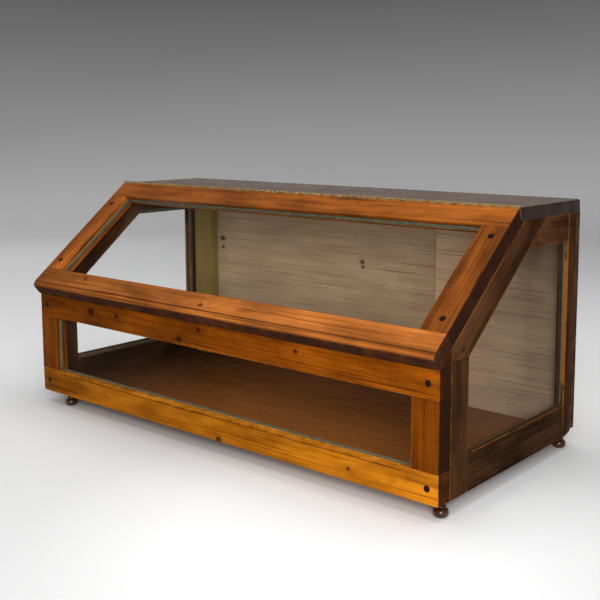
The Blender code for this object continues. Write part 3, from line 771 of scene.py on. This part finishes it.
def chamfer_rub(place):
    """Paler worn colour on the chamfer between its two stops: bare wood, and a painted highlight
    for the light the up-facing chamfer catches.
    """
    inwards, drop = place.y - FRONT, FRONT_RAIL_TOP - place.z
    off_plane = abs(inwards / CHAMFER_DEEP + drop / CHAMFER_HIGH - 1)
    near = inwards < CHAMFER_DEEP * 1.05 and off_plane < 0.12
    return 0.6 if near and from_ends(place) > CHAMFER_STOP else 0.0


def chamfer_soil(place):
    """A dark line along the chamfer's lower arris."""
    off_line = abs(FRONT_RAIL_TOP - place.z - CHAMFER_HIGH - 0.4 * MM)
    line = 0.9 * faded(off_line, 0.45 * MM, 1.1 * MM)
    seen = from_ends(place) > CHAMFER_STOP and place.y - FRONT < 0.5 * MM
    return max(line if seen else 0.0, end_soil(place))


def opening_rub(edge):
    """Bare wood along a back stile's edge at the pane, between two heights."""

    def rub(place):
        from_stops = min(place.z - RUBBED_FROM, RUBBED_TO - place.z)
        near = faded(place.y - edge, 3.5 * MM, 5.5 * MM)
        return near * (1 - faded(from_stops, 0, 8 * MM))

    return rub


def make_front():
    shape = {"slot": "front_pine", "pitch": 4}
    knots = [(on_front(166, 184), 7.0), (on_front(243, 185), 3.4), (on_front(418, 167), 4.5),
             (on_front(468, 191), 3.6), (on_front(693, 188), 3.2)]
    nicks = [(on_front(628, 205), 5 * MM, 2.5 * MM), (on_front(330, 205), 4 * MM, 1.5 * MM)]
    # The top rail's darkness against the bottom rail is partly painted shade under the lid's nose;
    # it is also painted darker towards its left end, as painted shade for a light from the right.
    member("front_top_rail", ALONG_FRONT, palette="front", pith=(0, -0.004, -0.045), ring=3.4,
           tint=1.15, knots=knots, seed=1.0, soil=with_painted_falloff(end_soil, 0.42, *ENDS), nicks=nicks,
           **shape)
    knots = [(on_front(800, 20), 2.4), (on_front(515, 4), 5.0)]
    nicks = [(on_front(181, 0), 7 * MM, 3 * MM), (on_front(0, 0), 8 * MM, 1.5 * MM)]
    # The bottom rail: brighter palette and tint partly painted light, darker towards its left end
    # as painted shade, and a painted highlight on its chamfer.
    member("front_bottom_rail", ALONG_FRONT, palette="front_low_lit", pith=(0, 0.01, -0.04),
           ring=3.0, tint=1.3, knots=knots, seed=2.0, radius=1.8, nicks=nicks, rub=chamfer_rub,
           soil=with_painted_falloff(chamfer_soil, 0.44, *ENDS), cuts=((1, -5.2), (1, -6.9), (1, -7.8)),
           **shape)
    chips = [((RIGHT, FRONT, BOTTOM + up * MM), 4 * MM, 1.6 * MM) for up in (66, 97, 113)]
    for side, seed, tint, nicks in (("left", 3.0, 0.78, ()), ("right", 4.0, 0.62, chips)):
        member(f"front_{side}_stile", UPRIGHT_FRONT, palette="front", pith=(0, 0.01, -0.05),
               ring=2.6, tint=tint, seed=seed, nicks=nicks, dirty_ends=1.2, soil=end_soil,
               **shape)


def make_lid():
    shape = {"slot": "lid_pine", "body": "lid", "pitch": 4}
    knots = [(on_lid(479, 288), 3.2), (on_lid(142, 275), 2.6)]
    corner = (RIGHT, LID_FOOT.y, LID_FOOT.z)
    # The bottom rail: brighter palette and tint are painted light; its left end is painted darker,
    # as painted shade for a light from the right, with some old varnish.
    member("lid_bottom_rail", ALONG_SLOPE, palette="lid_low_lit", pith=(0, -0.03, -0.035), ring=3.2,
           tint=1.5, knots=knots, seed=5.0, radius=1.6, nicks=[(corner, 8 * MM, 2 * MM)],
           cuts=((1, 10.9), (1, 11.8), (1, 14), (1, 18.5)),
           soil=with_painted_falloff(nose_soil, 0.64, *ENDS), **shape)
    # The top rail's low tint is painted shade, as the light falls off up the lid.
    member("lid_top_rail", ALONG_SLOPE, palette="lid", pith=(0, 0.02, -0.04), ring=2.8,
           tint=0.92, seed=6.0, soil=end_soil, **shape)
    top, foot = high("lid_top_rail"), low("lid_bottom_rail")
    # The right stile is painted darker towards the lid's top: painted shade, as the light falls
    # off up the lid.
    right_stile_falloff = with_painted_falloff(end_soil, 0.60, (RIGHT, top.y, top.z), (RIGHT, foot.y, foot.z))
    for side, seed, tint, soil in (
        ("left", 7.0, 1.25, end_soil), ("right", 8.0, 0.95, right_stile_falloff),
    ):
        member(f"lid_{side}_stile", SLOPING, palette="lid", pith=(0, 0.015, -0.05), ring=2.8,
               tint=tint, seed=seed, dirty_ends=1.2, soil=soil, **shape)


SIDE_MEMBERS = (  # name, grain and tint
    ("front_stile", UPRIGHT, 0.76), ("back_stile", UPRIGHT, 0.66), ("slope_rail", SLOPING, 0.95),
    ("top_rail", DEEP, 1.0), ("bottom_rail", DEEP, 0.62),
)


def make_sides():
    for side, outer in (("left", LEFT), ("right", RIGHT)):
        stile = f"{side}_side_back_stile"
        behind = high(stile).y
        worn_stile = {
            "nicks": [((outer, behind, BOTTOM), 9 * MM, 5 * MM)], "cuts": ((2, 5.5),),
            "rows": ROWS + (6 * MM, 9 * MM), "rub": opening_rub(low(stile).y),
        }
        for part, grain, tint in SIDE_MEMBERS:
            member(f"{side}_side_{part}", grain, "side_pine", "side", (0, -0.01, -0.05), 2.8,
                   tint, radius=1.2, dirty_ends=1.0, more_planes=[flat(Y, behind)],
                   **(worn_stile if part == "back_stile" else {}))


def make_boards():
    corners = [((x, BACK, TOP), 10 * MM, 2.5 * MM) for x in (LEFT, RIGHT)]
    member("top_board", ALONG, "top_board", "top", (0, 0.05, -0.06), 3.4, radius=2.0, seed=11.0,
           nicks=corners, dished=0.3, soil=end_soil)
    inner = low("back_board_left").y
    seen_knots = [
        ((LEFT + along * MM, inner, BOTTOM + up * MM), radius)
        for along, up, radius in ((95, 282, 5), (96, 262, 3), (500, 264, 4), (502, 254, 3))
    ]
    for side, knots, tint in (("left", seen_knots, 1.0), ("right", (), 1.25)):
        member(f"back_board_{side}", ALONG_FRONT, "back_board", "back", (0, 0.08, -0.11), 4.0,
               tint, knots, radius=1.2, dished=0.3, soil=corner_soil)
    member("base_board", ALONG, "base_board", "base", (0, 0.05, -0.13), 4.5, radius=1.0,
           pitch=12, seed=14.0, dished=0.2, soil=base_soil)
    timber("back_post", UPRIGHT, paint_material(), "green_paint", seed=15.0)


PEG_SIDES, PEG_RINGS = 28, 5
PEG_DOME = 0.35 * MM
CORNERS = [f"{level}_{side}" for level in ("top", "bottom") for side in ("left", "right")]
PEG_PLACES = [(f"front_peg_{corner}", -Y, "case") for corner in CORNERS]
PEG_PLACES += [(f"lid_peg_{corner}", LID_UP, "lid") for corner in CORNERS]
PEG_PLACES += [(f"{side}_peg_{place}", outward, "case")
               for side, outward in (("left", -X), ("right", X))
               for place in ("bend", "slope", "back")]


def make_pegs():
    """Whittled pegs, a little oval, their faces domed and dark with old polish."""
    for node, outward, body in PEG_PLACES:
        centre = middle(node)
        points = [point - centre for point in points_of(node)]
        reach = [point.dot(outward) for point in points]
        radius = max((point - outward * along).length for point, along in zip(points, reach))
        seed = RNG.uniform(0, 50)
        loops = [(radius, min(reach))]
        for ring in range(PEG_RINGS + 1):
            share = 1 - ring / (PEG_RINGS + 1)
            loops.append((radius * share, max(reach) - PEG_DOME * share ** 3))
        bm = bmesh.new()
        rings = []
        for size, height in loops:
            ring = []
            for angle in round_angles(PEG_SIDES):
                spot = Vector((cos(angle), sin(angle), seed))
                own_size = size * (0.95 + 0.05 * fractal(spot, 0.6))
                rough = 0.08 * MM * fractal(spot * 3 + Vector((0, 0, size * 900)), 1.0)
                tall = height - abs(rough) if height > 0 else height
                ring.append(bm.verts.new(
                    (cos(angle) * own_size, sin(angle) * own_size, tall)))
            rings.append(ring)
        loft_closed(bm, rings)
        material = wood_material(node, "peg", (0.004, 0.002, 0), 0.9)
        turn = outward.to_track_quat("Z", "X").to_matrix().to_4x4()
        finish_piece(bm, node + "_whittled", material, body, node,
                     Matrix.Translation(centre) @ turn)


# --- Glazing ---

PALE = (0.26, 0.17, 0.07), (0.18, 0.12, 0.05), (0.07, 0.05, 0.025)
STAINED = (0.09, 0.055, 0.020), (0.05, 0.032, 0.013), (0.02, 0.014, 0.008)
GREENISH = (0.10, 0.125, 0.085), (0.045, 0.075, 0.060), (0.05, 0.035, 0.015)
# Near-black bedding for the side panes: dark old bedding, and painted shade in the gap at the
# glass's edge.
BLACK = (0.035, 0.035, 0.020), (0.012, 0.012, 0.008), (0.11, 0.065, 0.015)
PANES = (  # name, body, direction out of the case, putty, bedding, how much putty shows
    ("front", "case", -Y, PALE, GREENISH, 4.0 * MM),
    ("lid", "lid", LID_UP, PALE, GREENISH, 4.0 * MM),
    ("left_side", "case", -X, STAINED, BLACK, 1.5 * MM),
    ("right_side", "case", X, STAINED, BLACK, 1.5 * MM),
)
PANE_PITCH, BEDDING_PITCH, PUTTY_PITCH = 24 * MM, 5 * MM, 6 * MM
PANE_COVER = 7.5 * MM  # how far a pane reaches past its opening
PANE_WAVER, PANE_WAVE = 0.07 * MM, 0.16
BEDDING = (  # into the opening, outwards
    (0.05 * MM, 0.0), (0.8 * MM, 0.0), (1.7 * MM, 0.0), (0.7 * MM, 1.0 * MM),
    (0.05 * MM, 2.2 * MM),
)
BEDDING_RAGGED = 0.30


def following(path):
    return path[1:] + path[:1]


def way_in(start, end):
    """The inward direction from an edge of a flat anticlockwise outline."""
    return Z.cross((end - start).normalized())


def mitres(path):
    """At each corner of an outline, the step that moves both its edges one unit inwards."""
    steps = []
    for before, corner, after in zip(path[-1:] + path[:-1], path, following(path)):
        one, two = way_in(before, corner), way_in(corner, after)
        steps.append((one + two) / (1 + one.dot(two)))
    return steps


def inset(corners, distance):
    return [corner + step * distance for corner, step in zip(corners, mitres(corners))]


def make_bedding(name, placing, path, material, body, seed):
    """A fillet pressed by hand along the opening's edge, in front of the glass."""
    bm = bmesh.new()
    rings = []
    for start, end, mitre in zip(path, following(path), mitres(path)):
        count = max(2, round((end - start).length / BEDDING_PITCH))
        for i in range(count):
            station = start.lerp(end, i / count)
            inward = way_in(start, end) if i else mitre
            ring = []
            for index, (into, out) in enumerate(BEDDING):
                spot = station + Vector((seed + index, 0, 0))
                rough = fractal(spot, 0.03) + 0.6 * fractal(spot, 0.006)
                waver = 1 + BEDDING_RAGGED * rough
                ring.append(bm.verts.new(station + inward * into * waver + Z * out * waver))
            rings.append(ring)
    loft(bm, rings + rings[:1])
    finish_piece(bm, name, material, body, placing=placing)


def make_putty(node, grain, sight, shown, material, body):
    """The putty, its sight edge ragged and drawn further into the opening by the glass."""
    bm, placing = welded(node, grain)
    for axis in (0, 1):
        slice_evenly(bm, axis, PUTTY_PITCH)
    back_face, glass_face = span(bm, 2)
    edges = [(start, way_in(start, end)) for start, end in zip(sight, following(sight))]
    for vertex in bm.verts:
        off, inward = min(
            ((abs((vertex.co - start).dot(inward)), inward) for start, inward in edges),
            key=lambda pair: pair[0],
        )
        if off < 1 * MM:
            ragged = fractal(vertex.co, 0.03) + 0.5 * fractal(vertex.co, 0.008)
            at_back = vertex.co.z < (back_face + glass_face) / 2
            vertex.co += inward * ((-3.0 * MM if at_back else shown) + 0.7 * MM * ragged)
            vertex.co.z += 0.5 * MM * (ragged if at_back else 0)
    finish_piece(bm, node.replace("_putty", "_fillet"), material, body, node, placing)


def make_glazing():
    glass = glass_material()
    edge = plain_material(
        "glass_edge", ((0.10, 0.20, 0.15), (0.16, 0.27, 0.21), (0.30, 0.36, 0.28)), 40, 0.25
    )
    for name, body, outward, putty_colours, bedding_colours, shown in PANES:
        putty = plain_material(name + "_old_putty", putty_colours, 60, 0.6, bump=0.6)
        bedding = plain_material(name + "_old_bedding", bedding_colours, 70, 0.5, bump=0.6)
        seed = 3.0 * len(name)
        across = X if abs(outward.x) < 0.5 else Y
        grain = Matrix((across, outward.cross(across), outward)).transposed()
        bm, placing = welded(name + "_glass", grain)
        face = max((f for f in bm.faces if f.normal.z > 0.9), key=lambda f: f.calc_area())
        corners = [vertex.co.copy() for vertex in face.verts]
        for axis in (0, 1):
            slice_evenly(bm, axis, PANE_PITCH)
        for vertex in bm.verts:
            place = Vector((vertex.co.x, vertex.co.y * 2.2, seed))
            vertex.co.z += PANE_WAVER * fractal(place, PANE_WAVE)
        pane = finish_piece(bm, name + "_pane", glass, body, name + "_glass", placing)
        pane.data.materials.append(edge)
        for polygon in pane.data.polygons:
            polygon.material_index = 0 if abs(polygon.normal.z) > 0.7 else 1

        path = inset(corners, PANE_COVER)
        for corner in path:
            corner.z = corners[0].z + 0.02 * MM
        make_bedding(name + "_bedding", placing, path, bedding, body, seed)
        sight = inset(corners, PANE_COVER - 2 * MM)
        make_putty(name + "_putty", grain, sight, shown, putty, body)


# --- Brass and iron ---

KNUCKLES = 76
BARREL, BARREL_SIDES, BARREL_SOFT = 1.85 * MM, 20, 0.25 * MM
KNUCKLE_GAP = 0.3 * MM
LEAF_FROM_ENDS, LEAF_BELOW_PIN = 3 * MM, 2.7 * MM
ROLL = 1.2 * MM, 3.2 * MM  # where a knuckle's neck runs, below the pin
SCREW_COUNT, SCREW_DEEP, SCREW_SIDES = 11, 12 * MM, 20
SCREW_HEAD = (-0.5 * MM, 2.9 * MM), (0.0, 2.9 * MM), (0.12 * MM, 2.6 * MM), (0.2 * MM, 1.8 * MM)
SLOT = (-2.4 * MM, -0.3 * MM, 0.1 * MM), (2.4 * MM, 0.3 * MM, 0.215 * MM)


def tube(bm, start, axis, across, out, sections, sides):
    """Rings of points along an axis, joined and capped. sections are (along, radius)."""
    rings = []
    for along, radius in sections:
        centre, up, aside = start + axis * along, out * radius, across * radius
        rings.append([bm.verts.new(centre + up * cos(angle) + aside * sin(angle))
                      for angle in round_angles(sides)])
    loft_closed(bm, rings)


def box_between(bm, origin, axes, lows, highs):
    """A block between two corners measured along three axes."""
    matrix = Matrix(axes).transposed().to_4x4()
    matrix.translation = origin
    size = [h - l for l, h in zip(lows, highs)]
    centre = Vector([(h + l) / 2 for l, h in zip(lows, highs)])
    placing = matrix @ Matrix.Translation(centre) @ Matrix.Diagonal((*size, 1))
    bmesh.ops.create_cube(bm, size=1.0, matrix=placing)


def make_hinge():
    brass = plain_material(
        "old_brass", ((0.85, 0.66, 0.32), (0.70, 0.50, 0.22), (0.26, 0.17, 0.08)), 55, 0.28,
        metallic=1.0, bump=0.2,
    )
    screw_brass = plain_material(
        "screw_brass", ((0.50, 0.36, 0.17), (0.36, 0.25, 0.12), (0.08, 0.06, 0.04)), 300, 0.35,
        metallic=1.0,
    )
    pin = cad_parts["hinge_pin"].data
    pin.materials.clear()
    pin.materials.append(brass)
    axis_at = middle("hinge_pin")
    start = Vector((LEFT, axis_at.y, axis_at.z))
    pitch = WIDTH / KNUCKLES
    inward = Vector((0, *(LID_UP + Z).yz)).normalized() * -1  # down the mitre, from the pin
    for node, body, parity in (("hinge_fixed_leaf", "case", 0), ("hinge_moving_leaf", "lid", 1)):
        away = [point - start for point in points_of(node)]
        plate = [Vector((0, v.y, v.z)) for v in away if hypot(v.y, v.z) > 5 * MM]
        side = X.cross(inward)  # towards the leaf's own body
        if (sum(plate, Vector()) / len(plate)).dot(side) < 0:
            side = -side
        near, far = min(v.dot(side) for v in plate), max(v.dot(side) for v in plate)
        bottom = max(plate, key=lambda v: v.length).dot(inward)
        bm = bmesh.new()
        box_between(bm, start, (X, inward, side), (LEAF_FROM_ENDS, LEAF_BELOW_PIN, near),
                    (WIDTH - LEAF_FROM_ENDS, bottom, far))
        bmesh.ops.bevel(bm, geom=bm.edges[:], offset=BARREL_SOFT, segments=2, affect="EDGES",
                        profile=0.5)
        for index in range(parity, KNUCKLES, 2):
            along = index * pitch + KNUCKLE_GAP / 2
            end = along + pitch - KNUCKLE_GAP
            sections = [(along, BARREL - BARREL_SOFT), (along + BARREL_SOFT, BARREL),
                        (end - BARREL_SOFT, BARREL), (end, BARREL - BARREL_SOFT)]
            tube(bm, start, X, side, -inward, sections, BARREL_SIDES)
            box_between(bm, start, (X, inward, side), (along, ROLL[0], near + 0.1 * MM),
                        (end, ROLL[1], far - 0.1 * MM))
        finish_piece(bm, node + "_rolled", brass, body, node)

        inner = far if abs(far) < abs(near) else near  # the face towards the other leaf
        bm = bmesh.new()
        for index in range(SCREW_COUNT):
            along = (index + 0.35 + 0.3 * parity) * WIDTH / SCREW_COUNT
            centre = start + X * along + inward * SCREW_DEEP + side * inner
            tube(bm, centre, -side, X, inward, SCREW_HEAD, SCREW_SIDES)
            angle = RNG.uniform(0, pi)
            slot_along = (X * cos(angle) + inward * sin(angle)).normalized()
            box_between(bm, centre, (slot_along, (-side).cross(slot_along), -side), *SLOT)
        finish_piece(bm, f"hinge_screws_{body}", screw_brass, body)


FOOT_SIDES = 48
PAD_RADIUS, BUN_HEIGHT, BUN_STEPS = 5.0 * MM, 14.5 * MM, 12
BEAD_INSIDE, BEAD_ROUND, BEAD_HIGH, BEAD_STEPS = 6.6 * MM, 1.3 * MM, 1.5 * MM, 6
BEAD_MIDDLE = BUN_HEIGHT + 2.4 * MM
NECK = [(0.0056, 0.0190), (0.0054, 0.0205), (0.0058, 0.0222), (0.0064, 0.0236), (0.0, 0.0236)]


def foot_profile(radius):
    """(radius, height) of a foot from the ground up: pad, bun, bead and neck."""
    profile = [(0.0, 0.0), (0.0048, 0.0), (0.0055, 0.0004)]
    for index in range(1, BUN_STEPS):
        angle = -pi / 2 + pi * index / BUN_STEPS
        profile.append((PAD_RADIUS + (radius - PAD_RADIUS) * cos(angle) ** 0.8,
                        BUN_HEIGHT / 2 + BUN_HEIGHT / 2 * 0.97 * sin(angle)))
    profile += [(0.0062, BUN_HEIGHT), (BEAD_INSIDE, BUN_HEIGHT + 0.6 * MM)]
    for index in range(BEAD_STEPS + 1):
        angle = -pi / 2 + pi * index / BEAD_STEPS
        profile.append((BEAD_INSIDE + BEAD_ROUND * cos(angle),
                        BEAD_MIDDLE + BEAD_HIGH * sin(angle)))
    return profile + NECK


def make_feet():
    """Turned feet, not quite round."""
    turn = UPRIGHT.to_4x4()
    for node in ("foot_front_left", "foot_front_right", "foot_back_left", "foot_back_right"):
        corner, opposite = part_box(node)
        centre = Vector(((corner.x + opposite.x) / 2, (corner.y + opposite.y) / 2, 0))
        bm = bmesh.new()
        rings = []
        for size, height in foot_profile((opposite.x - corner.x) / 2):
            ring = []
            for angle in round_angles(FOOT_SIDES if size else 1):
                spot = Vector((cos(angle), sin(angle), height * 90))
                real = size * (1 + 0.008 * fractal(spot + centre, 0.9))
                ring.append(bm.verts.new((real * cos(angle), real * sin(angle), height)))
            rings.append(ring)
        loft(bm, rings)
        bmesh.ops.transform(bm, matrix=turn.inverted(), verts=bm.verts)
        material = wood_material(node, "foot", (0, 0.003, 0.002), 1.6)
        finish_piece(bm, node + "_turned", material, "case", node,
                     Matrix.Translation(centre) @ turn)


def nail(bm, at, outward, radius):
    across = outward.orthogonal().normalized()
    sections = [(-1.0 * MM, radius * 0.9), (0.0, radius), (0.10 * MM, radius * 0.85),
                (0.18 * MM, radius * 0.4)]
    tube(bm, at, outward, across, outward.cross(across), sections, 12)


NAIL_HEAD = 2.2 * MM
ROW_NAILS, ROW_START, ROW_STEP = 6, 30, 68  # millimetres up the back boards
TOP_NAILS, TOP_START, TOP_STEP, TOP_DROP = 11, 45, 87.5, 33  # millimetres along and below the top


def make_nails():
    iron = plain_material(
        "old_iron", ((0.055, 0.040, 0.032), (0.11, 0.065, 0.040), (0.20, 0.09, 0.04)), 250, 0.6,
        metallic=0.4,
    )
    bright = plain_material(
        "bright_nail", ((0.75, 0.74, 0.72), (0.62, 0.60, 0.57), (0.35, 0.33, 0.30)), 300, 0.3,
        metallic=0.8,
    )
    seam = high("back_board_left").x
    bm = bmesh.new()
    outside = BACK - 0.25 * MM
    inside = low("back_board_left").y + 0.2 * MM
    for x in (LEFT + 11 * MM, RIGHT - 11 * MM, seam - 8 * MM, seam + 9 * MM):
        for index in range(ROW_NAILS):
            height = BOTTOM + (ROW_START + ROW_STEP * index + RNG.uniform(-5, 5)) * MM
            nail(bm, Vector((x + RNG.uniform(-2, 2) * MM, outside, height)), Y, NAIL_HEAD)
    for index in range(TOP_NAILS):
        x = LEFT + (TOP_START + TOP_STEP * index + RNG.uniform(-6, 6)) * MM
        nail(bm, Vector((x, outside, TOP - TOP_DROP * MM)), Y, NAIL_HEAD)
    for along, up in ((-5, 60), (-6, 128), (-4, 226), (-5, 323)):
        nail(bm, Vector((seam + along * MM, inside, BOTTOM + up * MM)), -Y, 1.3 * MM)
    finish_piece(bm, "back_board_nails", iron, "case")
    bm = bmesh.new()
    nail(bm, on_front(42, 83) + Y * 0.15 * MM, -Y, 1.5 * MM)
    stile = middle("right_side_back_stile")
    at = Vector((RIGHT - 0.2 * MM, stile.y - 9 * MM, BOTTOM + 96 * MM))
    nail(bm, at, X, 1.4 * MM)
    finish_piece(bm, "frame_nails", bright, "case")


# --- Studio ---

STAGE_FLOOR, STAGE_BEND, STAGE_WALL = 3.2, 1.2, 3.6
STAGE_SIDES, BEND_STEPS = 96, 12
PAINTED_POOL_CENTRE = (0.38, -0.30, 0)  # centre of the pool of light painted on the floor, in front of the case
SHADE_RISE, SHADE_REACH = 2.4, 10.0  # how height counts in the distance, and the ramp's length
# Painted light and shade: the stage's greys by distance, pale in the painted pool of light and
# falling off to a wall painted darker upwards.
PAINTED_STAGE_FALLOFF = [
    (0.0, 0.89), (0.022, 0.89), (0.045, 0.74), (0.08, 0.76), (0.14, 0.83), (0.19, 0.80),
    (0.25, 0.75), (0.34, 0.78), (0.46, 0.74), (0.55, 0.60), (0.63, 0.48), (0.73, 0.335),
    (0.80, 0.245), (0.90, 0.15),
]


def make_stage():
    """A round floor that sweeps up into a wall, with a painted pool of light near the object and
    painted shade darkening the wall upwards.
    """
    profile = [(0.0, 0.0), (0.4, 0.0), (0.8, 0.0), (1.4, 0.0), (2.2, 0.0)]
    for index in range(BEND_STEPS + 1):
        angle = pi / 2 * index / BEND_STEPS
        profile.append((STAGE_FLOOR + STAGE_BEND * sin(angle),
                        STAGE_BEND * (1 - cos(angle))))
    profile.append((STAGE_FLOOR + STAGE_BEND, STAGE_WALL))
    bm = bmesh.new()
    rings = [
        [bm.verts.new((radius * cos(angle), radius * sin(angle), height))
         for angle in round_angles(STAGE_SIDES if radius else 1)]
        for radius, height in profile
    ]
    loft(bm, rings[::-1])
    mesh = bpy.data.meshes.new("stage")
    bm.to_mesh(mesh)
    bm.free()
    mesh.shade_smooth()
    material, g, place = new_material("stage")
    parts = g.make("ShaderNodeSeparateXYZ", {0: place}).outputs
    away = g.length((place - PAINTED_POOL_CENTRE) * (1, 1, 0))
    distance = away + Signal(g, parts["Z"]) * SHADE_RISE
    # the stage's colour is painted light and shade, not the floor's own tone
    shade = g.ramp(distance / SHADE_REACH, PAINTED_STAGE_FALLOFF)
    g.principled(shade, 0.9, more={"Specular IOR Level": 0.1})
    mesh.materials.append(material)
    add_object("stage", mesh)


def area_light(name, at, target, size, power, mirrored=True):
    data = bpy.data.lights.new(name, "AREA")
    data.shape = "RECTANGLE"
    data.size, data.size_y = size
    data.energy = power
    light = add_object(name, data)
    light.visible_glossy = mirrored
    aim = Vector(target) - Vector(at)
    light.matrix_world = Matrix.Translation(at) @ aim.to_track_quat("-Z", "Y").to_matrix().to_4x4()


def make_lights():
    area_light("key", (1.7, -1.85, 1.0), (0.15, 0, 0.2), (1.4, 1.2), 55)
    area_light("overhead", (0.2, 0.0, 2.9), (0.1, 0.1, 0), (2.4, 2.0), 45, mirrored=False)
    area_light("fill", (-2.6, 0.6, 1.8), (-0.6, 0.6, 0), (1.4, 1.4), 12, mirrored=False)
    world = bpy.data.worlds.new("studio")
    world.use_nodes = True
    colour, strength = world.node_tree.nodes["Background"].inputs[:2]
    colour.default_value, strength.default_value = (1, 1, 1, 1), 0.38
    bpy.context.scene.world = world
    bpy.context.scene.view_settings.view_transform = "Standard"


make_camera()
make_stage()
make_lights()
make_front()
make_lid()
make_sides()
make_boards()
make_pegs()
make_glazing()
make_hinge()
make_feet()
make_nails()
